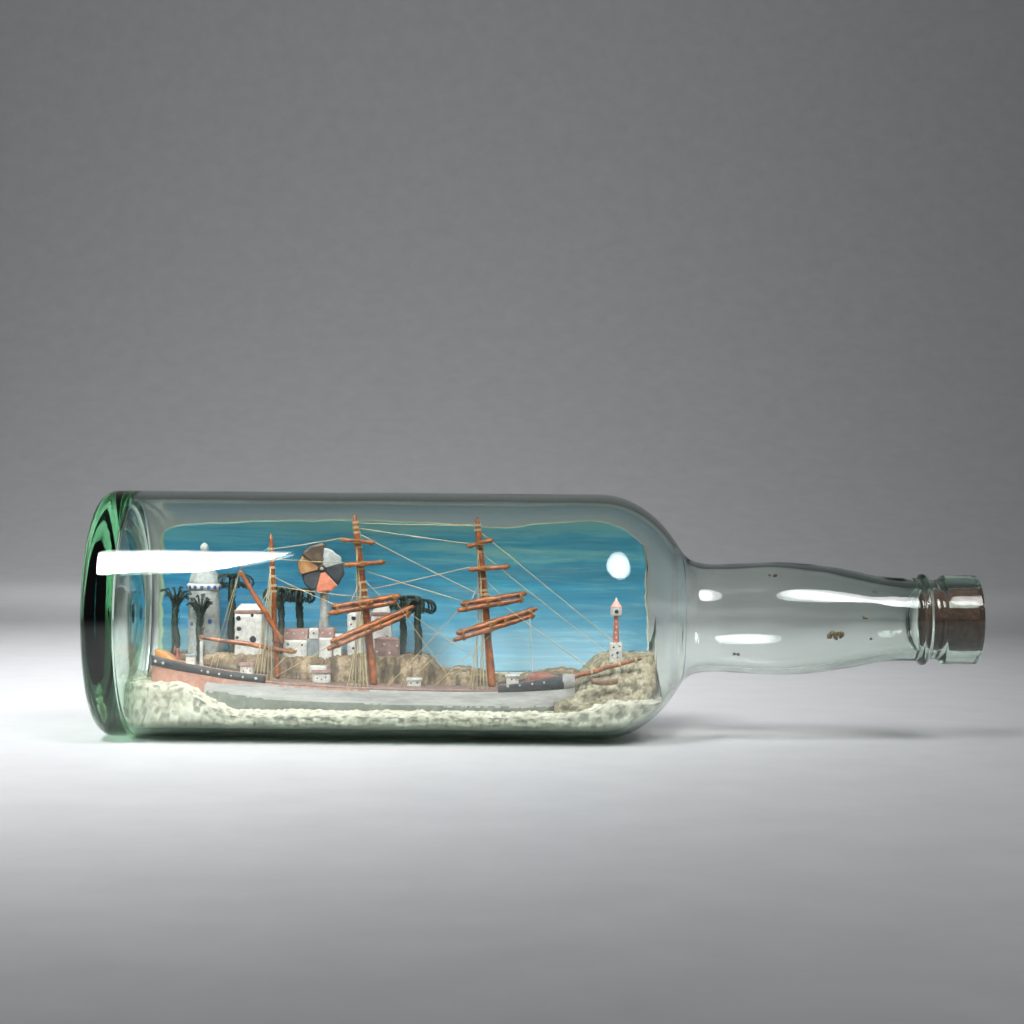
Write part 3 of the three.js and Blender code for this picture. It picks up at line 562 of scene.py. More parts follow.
def rough_ground(name, material, slot, node, x0, x1, steps, front, back, top, low, face, rows, crumb, seed):
    """Ground from the front line to the back line: rings of a face, a crumbled top and an underside, with a tone that
    is low in the hollows for painted shade.
    """
    tones, rings = [], []
    for x in (lerp(x0, x1, t) for t in shares(steps)):
        near, far = front(x), back(x)
        base = low(x, near)
        edge = max(base + 0.3, top(x, near))
        ring = []
        for j in range(face):
            t = j / face
            p = vec(x, near, lerp(base, edge, t))
            n = fbm(x * 0.45 + seed, p.z * 0.5, near * 0.4, 5)
            fine = fbm(x * 1.6, p.z * 1.7, seed, 3)
            p += vec(0.35 * crumb * fine, -crumb * (0.9 * n + 0.35 * fine) * smooth(t * 3), 0)
            ring.append(inside(p))
            # The tone follows how far the crumb stands out, so sunken crumbs get painted shade.
            tones.append(0.5 + 0.8 * n + 0.3 * fine)
        for j in range(rows + 1):
            y = lerp(near, far, j / rows)
            n = fbm(x * 0.4 + seed, y * 0.4, 1.0, 5)
            fine = fbm(x * 1.5, y * 1.5, seed + 4, 3)
            lift = crumb * (0.65 * n + 0.4 * fine)
            ring.append(inside(vec(x + 0.3 * crumb * fine, y + 0.3 * crumb * n, top(x, y) + lift)))
            # The tone follows the crumb's height, so low spots get painted shade.
            tones.append(0.5 + 0.8 * n + 0.4 * fine)
        for j in range(8):
            y = lerp(far, near, (j + 0.5) / 8)
            ring.append(inside(vec(x, y, low(x, y))))
            tones.append(0.6)
        rings.append(ring)
    shape = Shape().ring_skin(rings)
    shape.tone = tones
    shape.build(name, material, slot, node)


def wall_floor(x, y):
    """Height of the inside wall, under a point."""
    limit = inner_radius(x) - 0.15
    return AXIS - math.sqrt(max(0.0, limit ** 2 - y ** 2))


def sea_top(x, y):
    rise = 9.3 * smooth((-105 - x) / 23) + 4.5 * smooth((x - 4) / 26)
    return 10.4 + rise + 0.5 * math.sin(x * 0.55) * math.cos(y * 0.7)


def sea_front(x):
    waves = 0.7 * math.sin(x * 0.31) + 0.6 * math.sin(x * 0.83)
    return -19.8 - waves + 0.04 * max(0, -128 - x) ** 2 + 0.02 * max(0, x - 20) ** 2


def cliff_front(x):
    return 8.3 + 0.5 * fbm(x * 0.3, 6.0)


def cliff_top(x, y):
    town = smooth((-34 - x) / 8) * smooth((x + 143) / 12)
    ridge = 21.2 + 1.4 * math.sin(x * 0.16) + 0.8 * fbm(x * 0.3, 9.0)
    plateau = ridge + (28.0 - ridge) * town
    front = 10.0 + 1.4 * fbm(x * 0.16, 4.0)
    return 13.5 + (plateau - 13.5) * smooth((y - front + 1.8) / 4.0)


def headland_front(x):
    return -14.8 + 0.03 * (x - 20) ** 2


def headland_top(x, y):
    climb = 0.15 + 0.85 * smooth((x - 7) / 18)
    rise = min(1, max(0, (y + 12.5) / 20)) ** 1.7
    return 13.5 + (29.4 - 13.5) * climb * rise


rough_ground("putty_sea_bed", PUTTY, "putty", "putty_sea", -145.6, 43.2, 250, sea_front, lambda x: 33.0,
             sea_top, wall_floor, face=10, rows=34, crumb=0.95, seed=3.0)
rough_ground("town_cliff_rock", CLIFF, "rock", "town_cliff", -141.4, 16, 240, cliff_front, lambda x: 33.5,
             cliff_top, lambda x, y: max(9.0, wall_floor(x, y)), face=4, rows=44, crumb=1.25, seed=21.0)
rough_ground("headland_rock", MOUND, "rock", "headland", 5.6, 41.2, 70, headland_front, lambda x: 27.0,
             headland_top, lambda x, y: max(8.5, wall_floor(x, y)), face=4, rows=52, crumb=1.2, seed=47.0)


# ---- ship's lines, as the CAD has them ----
HULL_AFT, HULL_FORE = -137.5, 13.0


def deck_edge(x):
    aft, forward = max(0, (-14 - x) / 124), max(0, (x + 14) / 27)
    return 17.3 + 8.5 * aft ** 3 + 1.4 * forward ** 1.5


def half_breadth(x):
    if x > -18:
        return 0.5 + 6.5 * math.sqrt(max(0, 1 - ((x + 18) / 31) ** 2))
    if x < -100:
        return 7 - 3 * ((-100 - x) / 37.5) ** 2
    return 7


def hull_bottom(x):
    return 9 + 9 * max(0, (-122 - x) / 15.5) ** 1.5 + 5.5 * max(0, (x + 2) / 15) ** 2


def paint_faces(obj, materials, choose):
    """Gives each face one of several paints by where its middle is, in millimetres."""
    for material in materials:
        obj.data.materials.append(material)
    for face in obj.data.polygons:
        face.material_index = choose(face.center / MM)


def hull():
    flat, bilge, bottom = 0.35, 0.6, 0.72  # the girth's shares where the bottom and bilge end; the bottom's breadth
    rings = []
    for x in (lerp(HULL_AFT, HULL_FORE, t) for t in shares(380)):
        half, low, high = half_breadth(x), hull_bottom(x), deck_edge(x) + 0.2
        shelf = 0.42 * (high - low)
        ring = []
        for t in (-1 + 2 * j / 64 for j in range(65)):
            a = abs(t)
            if a < flat:
                y, z = bottom * half * a / flat, low
            elif a < bilge:
                quarter = (a - flat) / 0.25 * math.pi / 2
                y = half * (bottom + 0.28 * math.sin(quarter))
                z = low + shelf * (1 - math.cos(quarter))
            else:
                y, z = half, lerp(low + shelf, high, (a - bilge) / 0.4)
            y += 0.12 * fbm(x * 0.18, z * 0.3, 3.0)
            ring.append(vec(x, math.copysign(y, t), z))
        rings.append(ring)

    def below_rail(c):
        """The white side, the pink counter under the rail aft, or painted shade: a grey band along the hull's bottom,
        where it lies in shade.
        """
        white_end = -118.6 + 3.2 * (1 - math.sqrt(max(0.0, 1 - ((c.z - 17.6) / 3.2) ** 2)))
        seam = deck_edge(c.x) - lerp(2.2, 0.5, smooth((c.x + 119) / 22)) + 0.25 * fbm(c.x * 0.5, 3.0)
        # Below this line the hull is painted grey as shade.
        shade_top = 12.1 + 1.5 * smooth((-30 - c.x) / 60) + 3.0 * smooth((-88 - c.x) / 30) + 0.2 * fbm(c.x * 0.4, 8.0)
        if c.x < white_end or c.z > seam and c.x < -60:
            return 1
        return 2 if c.z < shade_top else 0

    obj = Shape().ring_skin(rings).build("hull_body", HULL_WHITE, "hull_white", "hull")
    paint_faces(obj, [COUNTER, PAINTED_HULL_SHADE], below_rail)


hull()


def strip(name, material, slot, node, x0, x1, inset, low, high, thick=0.0, steps=60, crown=0.0):
    """A deck, or with a thickness a rail round the deck's edge, following the hull's outline."""
    rings = []
    for x in (lerp(x0, x1, t) for t in shares(steps)):
        half = max(0.35, half_breadth(x) - inset) + 0.08 * fbm(x * 0.4, 2.0)
        z0, z1 = deck_edge(x) + low, deck_edge(x) + high(x) + 0.12 * fbm(x * 0.5, 8.0)
        if thick:
            inner = max(0.1, half - thick)
            side = [(half, z0), (half, lerp(z0, z1, 0.5)), (half - 0.05, z1 - 0.12), (half - 0.15, z1),
                    (inner + 0.1, z1), (inner, z1 - 0.15), (inner, z0 + 0.3)]
        else:
            side = [(half, z0)]
            side += [(half * s, z1 + crown * (1 - s * s) - (0.25 if s == 1 else 0)) for s in (1, 0.95, 0.5)]
        ring = [vec(x, -y, z) for y, z in side]
        if not thick:
            ring.append(vec(x, 0, z1 + crown))
        rings.append(ring + [vec(x, y, z) for y, z in reversed(side)])
    return Shape().ring_skin(rings).build(name, material, slot, node)


def poop_height(x):
    return 1.6 + 1.3 * smooth((-112 - x) / 20) + 2.4 * smooth((-128.5 - x) / 5)


def forecastle_height(x):
    return 1.6 + (4.0 - 1.6 * smooth((x - 1) / 6)) * smooth((x + 6.8) / 5)


strip("main_deck_boards", DECK, "deck_pink", "main_deck", -97.0, -13.6, -0.06, 0.1, lambda x: 0.9, crown=0.3)
strip("poop_deck_boards", ORANGE, "deck_orange", "poop_deck", -136.6, -96.6, 1.0, 0.1, poop_height, crown=0.3)
strip("poop_rail", BLACK, "hull_black", "poop_bulwark", -137.7, -96.8, -0.12, -0.1,
      lambda x: 2.6 + 0.8 * max(0, (-112 - x) / 25), thick=0.95)
strip("forecastle_boards", RED, "red", "forecastle_deck", -14.2, 7.0, 1.1, 0.1, forecastle_height, crown=0.5)
bow_rail = strip("bow_rail", BLACK, "hull_black", "bow_bulwark", -14.4, 12.9, -0.12, -0.1,
                 lambda x: 2.1 + 2.5 * min(1, max(0, (x + 14) / 20)), thick=0.95, steps=110)
paint_faces(bow_rail, [HULL_WHITE], lambda c: int(c.x > 8.6 + 0.4 * math.sin(2 * c.z)))


def dots(name, material, slot, spots):
    """Dabs of paint: each spot is a point, the way it faces, and a radius."""
    shape = Shape()
    for k, (point, normal, radius) in enumerate(spots):
        shape.disc(point, normal, radius, 0.13, 12, seed=k * 3.1)
    return shape.build(name, material, slot)


ports = [(x, 0.12, deck_edge(x) + up, 0, r) for x, up, r in (
    (-136.2, 1.6, 0.55), (-133.4, 1.5, 0.55), (-119.5, 1.35, 0.3), (-117.2, 1.3, 0.5),
    (-113.2, 1.2, 0.4), (-109.0, 1.2, 0.35), (-104.8, 1.2, 0.4), (-100.2, 1.3, 0.5))]
ports += [(x, 0.14, deck_edge(x) + 1.9 + 0.05 * (x + 14), 0.1, r) for x, r in (
    (-11.0, 0.45), (-6.8, 0.4), (-2.4, 0.4), (1.8, 0.38))]
dots("rail_ports", WHITE, "hull_white", [
    (vec(x, side * (half_breadth(x) + out), z), vec(lean, side, 0), r)
    for x, out, z, lean, r in ports for side in (-1, 1)])


# ---- masts and spars, on the CAD's own lines ----
def spar(name):
    """A CAD spar's two ends, lowest X first, and its radius at even steps between them."""
    co = np.array([v.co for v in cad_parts[name].data.vertices], float) / MM
    rows = np.unique(np.round(co, 4), axis=0)
    centre = rows.mean(0)
    axis = np.linalg.svd(rows - centre)[2][0]
    axis *= np.sign(axis[0])
    run = (rows - centre) @ axis
    wide = np.linalg.norm(rows - centre - np.outer(run, axis), axis=1)
    order = np.argsort(run)
    keep = wide[order] > 0.2
    radii = np.interp(np.linspace(run.min(), run.max(), 9), run[order][keep], wide[order][keep])
    return Vector(centre + axis * run.min()), Vector(centre + axis * run.max()), list(radii)


def draw_spar(shape, a, b, radii, seed, wander, scale=1.0, point=0.0):
    """A spar of nine even radii, a little crooked; its last part, point, may be tapered."""
    steps = max(14, int((b - a).length))
    side = (b - a).orthogonal().normalized()
    up = (b - a).cross(side).normalized()
    path, widths = [], []
    for i in range(steps + 1):
        t = i / steps
        off = wander * math.sin(math.pi * t)
        path.append(a.lerp(b, t) + side * (off * fbm(t * 3, seed)) + up * (off * fbm(t * 3, seed + 5)))
        r = float(np.interp(t * 8, range(9), radii)) * scale
        if i in (0, steps):
            r *= 0.8
        if point and t > 1 - point:
            r *= lerp(1.0, 0.35, (t - 1 + point) / point)
        widths.append(r)
    return shape.tube(path, widths, 12, rough=0.16, seed=seed)


def spar_piece(name, seed, wander, scale):
    """Draws the CAD's spar as a piece, and gives its two ends."""
    a, b, radii = spar(name)
    draw_spar(Shape(), a, b, radii, seed, wander, scale).build(name + "_spar", WOOD, "spar", name)
    return a, b


MAST = {}
for k, name in enumerate(("mizzen", "main", "fore")):
    *ends, radii = spar(name + "_mast")
    foot, top = sorted(ends, key=lambda p: p.z)
    radii = [radii[4] * share for share in (1.0, 1.0, 0.98, 0.98, 0.96, 0.93, 0.87, 0.78, 0.66)]
    MAST[name] = (foot, top, radii)
    mast_shape = draw_spar(Shape(), foot, top, radii, 3.0 * k, 0.3, 1.0, 0.04)
    mast_shape.build(name + "_mast_spar", WOOD, "spar", name + "_mast")


def on_mast(mast, z):
    foot, top, _ = MAST[mast]
    return foot.lerp(top, (z - foot.z) / (top.z - foot.z))


def mast_radius(mast, z):
    foot, top, radii = MAST[mast]
    return float(np.interp((z - foot.z) / (top.z - foot.z) * 8, range(9), radii))


def round_mast(mast, z, over, steps, forward=0.0, lift=0.0):
    """Thread round the mast's back, from one side to the other and over each by that much."""
    hub, r = on_mast(mast, z), mast_radius(mast, z) + 0.2
    angles = np.linspace(-over, math.pi + over, steps)
    return [hub + vec(r * math.cos(t), forward + r * math.sin(t), lift) for t in angles]


YARD = {}  # each yard's two ends, and how far its lashings stand off; of a pair, the middle line
LASH = Shape()
for k, name in enumerate(("main_royal", "main_topgallant", "main_topsail", "main_course",
                          "fore_royal", "fore_topgallant", "fore_topsail", "fore_course")):
    pair = name.endswith(("topsail", "course"))
    parts = [name + "_yard" + end for end in (("_upper", "_lower") if pair else ("",))]
    ends = [spar_piece(part, 11.0 + 2.3 * k + n, 0.2, 1.2 if pair else 1.1) for n, part in enumerate(parts)]
    a, b = (sum((line[end] for line in ends), Vector()) / len(ends) for end in (0, 1))
    reach = 2.05 if pair else max(spar(parts[0])[2]) + 0.12
    YARD[name] = (a, b, reach)
    mast = name.split("_")[0]
    along = (b - a).normalized()
    for share in ((0.09, 0.42, 0.6, 0.93) if pair else (0.12, 0.45, 0.9)):
        LASH.coil(a.lerp(b, share), along, reach, 3.5, 0.3, 0.15, 0.56 if pair else 1.0)
    middle = on_mast(mast, a.lerp(b, 0.45).z)
    cross = a + along * max(0.0, min((b - a).length, (middle - a).dot(along)))
    for n in range(4):
        lift = 0.35 * (n - 1.5)
        loop = round_mast(mast, cross.z, 0.35, 12, 0.2, lift)
        front = cross + vec(0, -0.9, lift)
        start = front + vec(1.3 * n - 1.9, -0.3, 0.2)
        LASH.tube([start, *loop, front + vec(-1.3 * n + 1.9, -0.3, -0.2), start], 0.15, 5)

heel, tip = spar_piece("bowsprit", 51.0, 0.3, 1.05)
gaff_a, gaff_b = spar_piece("gaff", 53.0, 0.2, 1.08)
boom_a, boom_b = spar_piece("boom", 55.0, 0.3, 1.05)


def span(node):
    """A CAD node's lowest and highest corner, in millimetres."""
    lo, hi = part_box(node)
    return lo / MM, hi / MM


def middle(lo, hi):
    return (lo.x + hi.x) / 2, (lo.y + hi.y) / 2


lo, hi = span("boom_crutch")
cx, cy = middle(lo, hi)
crutch = draw_spar(Shape(), vec(cx, cy, lo.z), vec(cx + 0.1, cy, hi.z - 0.2),
                   [0.95, 0.8, 0.7, 0.6, 0.6, 0.6, 0.6, 0.65, 0.75], 57.0, 0.2)
for s in (-1, 1):
    crutch.tube([vec(cx, cy, hi.z - 0.4), vec(cx + 0.5 * s, cy - 0.5, hi.z + 0.9)], [0.45, 0.3], 7, rough=0.2)
crutch.build("boom_crutch_post", WHITE, "hull_white", "boom_crutch")
for jaw, end in ((gaff_b, gaff_a), (boom_b, boom_a)):
    for k in range(3):
        loop = round_mast("mizzen", jaw.z, 0.3, 10, lift=0.3 * k)
        start = jaw + vec(0.4, -0.7, 0.3 * k)
        LASH.tube([start, *loop, start + vec(-0.8, 0, 0)], 0.14, 5)
    LASH.coil(jaw.lerp(end, 0.06), end - jaw, 1.0, 4, 0.3, 0.15)
LASH.coil(boom_a.lerp(boom_b, 0.03), boom_b - boom_a, 0.85, 4, 0.3, 0.15)
LASH.coil(gaff_a.lerp(gaff_b, 0.04), gaff_b - gaff_a, 0.88, 4, 0.3, 0.15)


# ---- rigging ----
def on_yard(name, from_aft, up=0.0):
    a, b, _ = YARD[name]
    return a + (b - a).normalized() * from_aft + vec(0, 0, up)


def line(shape, a, b, sag, thick, seed):
    steps = max(6, int((b - a).length / 2.5))
    path = []
    for t in shares(steps):
        sway = 0.05 * vec(fbm(t * 5, seed), fbm(t * 5, seed + 3), fbm(t * 5, seed + 7))
        path.append(a.lerp(b, t) + vec(0, 0, -4 * sag * t * (1 - t)) + sway)
    shape.tube(path, thick, 6, rough=0.5, seed=seed)


def tie_mast(shape, mast, z):
    foot, top, _ = MAST[mast]
    shape.coil(on_mast(mast, z), top - foot, mast_radius(mast, z) + 0.14, 3, 0.28, 0.14)


def stay(shape, mast, z, end, seed):
    start = on_mast(mast, z)
    tie_mast(shape, mast, z)
    line(shape, start + (end - start).normalized() * (mast_radius(mast, z) + 0.1), end, 0.25, 0.16, seed)


def shrouds(mast, heights, spread):
    """Lines from the mast to both sides of the deck, each as far behind the mast as spread says."""
    shape, rng = Shape(), random.Random(mast + "_rigging")
    for z in heights:
        tie_mast(shape, mast, z)
    for side in (-1, 1):
        for k, back in enumerate(spread):
            z = heights[k % len(heights)]
            hub = on_mast(mast, z)
            x = MAST[mast][0].x - back
            foot = vec(x, side * (half_breadth(x) - 0.5), deck_edge(x) + 0.9)
            start = hub + vec(-0.5, side * (mast_radius(mast, z) + 0.1), 0)
            line(shape, start, foot, 0.0, 0.12 + 0.03 * rng.random(), seed=k + side)
            shape.coil(foot + vec(0, 0, 0.5), hub - foot, 0.3, 3, 0.3, 0.12)
    shape.build(mast + "_rigging", THREAD, "line", mast + "_shrouds")


shrouds("mizzen", (60.5, 52), (1.4, 3.0, 4.4, 5.6, 7.0, 8.2))
shrouds("main", (68, 55.5, 48.2), (1.8, 3.2, 4.6, 6.0, 7.4, 8.8))
shrouds("fore", (68.5, 57, 49.6), (1.6, 3.0, 4.2, 5.4, 6.8, 8.0))

shape = Shape()
for k, (z, share) in enumerate(((74.5, 0.93), (66.6, 0.74), (52.9, 0.4))):
    end = heel.lerp(tip, share)
    stay(shape, "fore", z, end + vec(0, 0, 0.8), k * 5.0)
    shape.coil(end, tip - heel, 1.0, 3, 0.3, 0.15)
shape.build("bow_rigging", THREAD, "line", "bow_stays")


def stays_between(aft, fore, seed, ends, ties):
    """Stays from heights on one mast to points forward, and turns of thread on the next mast."""
    shape = Shape()
    for k, (z, end) in enumerate(ends):
        stay(shape, aft, z, end, seed + k)
    for z in ties:
        tie_mast(shape, fore, z)
    shape.build(f"{aft}_to_{fore}_rigging", THREAD, "line", f"{aft}_to_{fore}_stays")


stays_between("main", "fore", 1.0, (
    (76.8, on_mast("fore", 76.2) + vec(-1.2, 0, 0)), (75, on_yard("fore_royal", 0.9, 0.8)),
    (73.2, on_mast("fore", 51.4) + vec(-1.7, 0, 0)), (60.2, on_yard("fore_topsail", 1.3, 1.9)),
    (52.6, on_yard("fore_topgallant", 0.8, 0.9))), (76.2, 51.4))
stays_between("mizzen", "main", 6.0, (
    (67, on_yard("main_royal", 0.7, 0.8)), (63.6, on_yard("main_topgallant", 0.7, 0.9)),
    (57.4, on_yard("main_topsail", 1.4, 1.9)), (54, on_mast("main", 50.2) + vec(-1.7, 0, 0))), (50.2,))


def on_deck(x, side=-1):
    return vec(x, side * (half_breadth(x) - 0.8), deck_edge(x) + 1.0)


shape = Shape()
for k, (a, b) in enumerate((
        (on_yard("main_topsail", 1.0), on_deck(-98)), (on_yard("main_course", 1.0), on_deck(-96)),
        (on_yard("fore_topsail", 0.8), on_deck(-54)), (on_yard("fore_course", 0.8), on_deck(-49)),
        (on_yard("fore_course", 20), on_deck(-38)), (on_yard("fore_course", 30), on_deck(-2)),
        (on_yard("main_course", 32), on_mast("fore", 26.5) + vec(-1.7, 0, 0)),
        (on_yard("main_topsail", 24), on_deck(-30, 1)),
        (on_mast("main", 57.5), on_yard("main_topsail", 7.5, 1.8)),
        (on_mast("main", 57.5), on_yard("main_topsail", 19, 1.8)),
        (on_mast("fore", 58), on_yard("fore_topsail", 4.5, 1.8)),
        (on_mast("fore", 58), on_yard("fore_topsail", 16, 1.8)),
        (on_mast("mizzen", 68.5), gaff_a + vec(0.3, 0, 0.7)),
        (gaff_a, on_deck(-117)), (gaff_a, on_deck(-116, 1)),
        (on_mast("mizzen", 56), gaff_a.lerp(gaff_b, 0.5) + vec(0, 0, 0.8)))):
    line(shape, a, b, 0.2, 0.13, seed=20.0 + k)
shape.build("running_rigging", THREAD, "line")
LASH.build("spar_lashings", LASHING, "line")


# ---- deck fittings ----
def wall_spots(lo, hi, marks, y, way=-1):
    """Spots on a wall that faces along Y, from shares of its width and height, and a radius."""
    return [(vec(lerp(lo.x, hi.x, u), y, lerp(lo.z, hi.z, v)), vec(0, way, 0), r) for u, v, r in marks]


def deck_house(node, roof, marks, upper=False):
    lo, hi = span(node)
    eaves, inset = lo.z + 0.72 * (hi - lo).z, 0.45
    x0, x1, y0, y1 = lo.x + inset, hi.x - inset, lo.y + inset, hi.y - inset
    walls = Shape().block(x0, x1, y0, y1, lo.z - 0.5, eaves, 0.12, 3)
    if upper:
        walls.block(lo.x - 0.8, hi.x - 1.6, y0, y1, eaves + 0.2, hi.z + 1.3, 0.1, 3)
    walls.build(node + "_walls", WHITE, "hull_white", node)
    Shape().block(lo.x, hi.x, lo.y, hi.y, eaves, hi.z, 0.14, 2, 0.15).build(node + "_roof", roof, "deck_pink")
    spots = wall_spots(lo, hi, marks, y0 - 0.05) + wall_spots(lo, hi, marks, y1 + 0.05, 1)
    dots(node + "_windows", BLACK, "hull_black", spots)


deck_house("aft_house", PINK, ((0.3, 0.25, 0.26), (0.55, 0.5, 0.22), (0.75, 0.28, 0.26)))
deck_house("mid_house", PINK, ((0.3, 0.35, 0.3), (0.52, 0.25, 0.26), (0.74, 0.4, 0.3)), upper=True)
deck_house("fore_house", WHITE, ((0.3, 0.4, 0.32), (0.7, 0.4, 0.32)))
deck_house("bow_cabin", WHITE, ((0.45, 0.45, 0.34), (0.75, 0.4, 0.22)))


def steering_post():
    """A post with a ship's wheel and four spokes on its aft side."""
    lo, hi = span("steering_post")
    x, hub_z = middle(lo, hi)[0], hi.z - 1.4
    radii = [1.0, 0.95, 0.85, 0.75, 0.7, 0.7, 0.75, 0.85, 0.7]
    post = draw_spar(Shape(), vec(x, 0, lo.z), vec(x, 0, hi.z - 0.2), radii, 61.0, 0.1)

    def rim(t, radius):
        return vec(x - 1.0, radius * math.cos(t), hub_z + radius * math.sin(t))

    post.tube([rim(t, 1.5) for t in np.linspace(0, 2 * math.pi, 25)], 0.22, 6, rough=0.2)
    for t in (math.pi * k / 4 for k in range(4)):
        post.tube([rim(t, 2.0), rim(t, -2.0)], 0.16, 6)
    post.tube([vec(x - 1.1, 0, hub_z), vec(x, 0, hub_z)], 0.3, 8)
    post.build("steering_wheel_post", RED, "red", "steering_post")


steering_post()

poop = deck_edge(-124)
locker = Shape().block(-125.7, -122.4, -2.6, 0.6, poop + 1.6, poop + 5.6, 0.15, 3)
locker.build("poop_locker", WHITE, "hull_white")
lid = Shape().block(-126.0, -122.1, -2.9, 0.9, poop + 5.5, poop + 6.2, 0.12, 2, 0.2)
lid.build("poop_locker_lid", GREY, "card")


def small_boat():
    rings = []
    for t in shares(24):
        half = 1.7 * math.sqrt(max(0.004, 1 - (2 * t - 1) ** 4)) * (0.55 + 0.45 * math.sin(math.pi * min(1, t + 0.2)))
        sheer = (2 * t - 1) ** 2
        x, keel, rim = lerp(18.6, 28.0, t), 20.0 + 0.7 * sheer, 22.0 + 0.9 * sheer
        side, floor, bench = lerp(keel, rim, 0.5), keel + 0.2, lerp(keel, rim, 0.55)
        outer = [(-1, rim), (-0.92, side), (-0.55, floor), (0, keel), (0.55, floor), (0.92, side), (1, rim)]
        inner = [(0.78, rim), (0.66, bench), (0, keel + 0.6), (-0.66, bench), (-0.78, rim)]
        rings.append([vec(x, -8.4 + half * s, z) for s, z in outer + inner])
    boat = Shape().ring_skin(rings).block(22.4, 23.2, -9.8, -7.0, 21.5, 21.9, 0.05)
    boat.build("small_boat", painted("boat_paint", (96, 70, 54), (126, 94, 74), (150, 120, 98)), "red")


small_boat()


# ---- town ----
def front_marks(node, marks, out=0.05, paint=BLACK, name="_marks"):
    lo, hi = span(node)
    dots(node + name, paint, "hull_black", wall_spots(lo, hi, marks, lo.y - out))


def town_house(node, wall, eaves_paint, eaves, marks, cap=WHITE, paint=BLACK):
    """Walls to the eaves, a sloped roof above, dabs of paint for windows on the front and back."""
    lo, hi = span(node)
    split = lerp(lo.z, hi.z, eaves)
    lean = min(1.5, (hi.x - lo.x) / 5)
    walls = Shape().block(lo.x, hi.x, lo.y, hi.y, lo.z - 1.5, split, 0.28, 5)
    walls.build(node + "_walls", wall, "house_pink" if wall is PINK else "house_white", node)
    top = Shape().block(lo.x - 0.15, hi.x + 0.15, lo.y - 0.15, hi.y + 0.15, split, lerp(split, hi.z, 0.35), 0.25, 3)
    top.build(node + "_eaves", eaves_paint, "house_pink")
    roof = Shape().block(lo.x + 0.2 * lean, hi.x - 0.2 * lean, lo.y + 0.2, hi.y - 0.2,
                         lerp(split, hi.z, 0.3), hi.z, 0.25, 3, lean)
    roof.build(node + "_roof", cap, "house_white")
    front_marks(node, marks, paint=paint)
    back = [(1 - u, v, r) for u, v, r in marks]
    dots(node + "_back_marks", paint, "hull_black", wall_spots(lo, hi, back, hi.y + 0.05, 1))


town_house("white_house", WHITE, PINK, 0.82, (
    (0.14, 0.73, 0.9), (0.65, 0.79, 0.6), (0.15, 0.53, 0.85), (0.09, 0.36, 0.6), (0.68, 0.33, 1.3)))
town_house("tall_house", WHITE, WHITE, 0.9, (
    (0.4, 0.86, 0.9), (0.25, 0.72, 0.45), (0.7, 0.68, 0.5), (0.4, 0.2, 0.5), (0.7, 0.45, 0.35)))
town_house("gable_house", WHITE, PINK, 0.78, ((0.3, 0.3, 0.6), (0.75, 0.22, 0.5), (0.8, 0.4, 0.45)))
town_house("pink_house", PINK, PINK, 0.86, (
    (0.1, 0.35, 0.45), (0.4, 0.68, 0.45), (0.6, 0.3, 0.5), (0.92, 0.62, 0.45)), cap=PINK, paint=WHITE)


def row_houses():
    """Low houses side by side: each is from share to share of the row, set in front and back, and low and high."""
    lo, hi = span("row_houses")
    foot = lo.z - 1.5

    def up(share):
        return lerp(lo.z, hi.z, share)

    for name, material, slot, nodes, wobble, houses in (
            ("white", WHITE, "house_white", ["row_houses"], 0.2, (
                (0.0, 0.4, 0, 0, foot, up(0.6), 4), (0.62, 0.84, -0.3, 0, foot, up(0.68), 4),
                (0.44, 0.6, 0.1, 1, up(0.62), hi.z - 0.4, 3), (0.86, 1.0, 0.6, 0, foot, up(0.8), 4))),
            ("pink", PINK, "house_pink", [], 0.22, (
                (0.0, 0.42, 0.5, 0, up(0.58), hi.z - 0.6, 4), (0.6, 0.88, 0.4, 0, up(0.66), hi.z - 0.2, 4))),
            ("grey", GREY, "card", [], 0.2, ((0.4, 0.62, 0.2, 0, foot, up(0.66), 4),))):
        shape = Shape()
        for u0, u1, front, back, z0, z1, cuts in houses:
            shape.block(lerp(lo.x, hi.x, u0), lerp(lo.x, hi.x, u1), lo.y + front, hi.y - back, z0, z1, wobble, cuts)
        shape.build("row_houses_" + name, material, slot, *nodes)


row_houses()
front_marks("row_houses", (
    (0.08, 0.46, 0.42), (0.32, 0.45, 0.42), (0.52, 0.82, 0.4), (0.7, 0.52, 0.42), (0.7, 0.27, 0.42),
    (0.93, 0.45, 0.4)))
front_marks("row_houses", (
    (0.06, 0.82, 0.32), (0.18, 0.8, 0.34), (0.33, 0.83, 0.32), (0.67, 0.84, 0.34), (0.8, 0.82, 0.36)),
    out=-0.45, paint=WHITE, name="_white_marks")


def round_spots(x, y, reach, spots):
    """Spots on a round wall, from an angle off the front, a height and a radius."""
    return [(vec(x + reach * math.sin(a), y - reach * math.cos(a), z), vec(math.sin(a), -math.cos(a), 0), r)
            for a, z, r in spots]


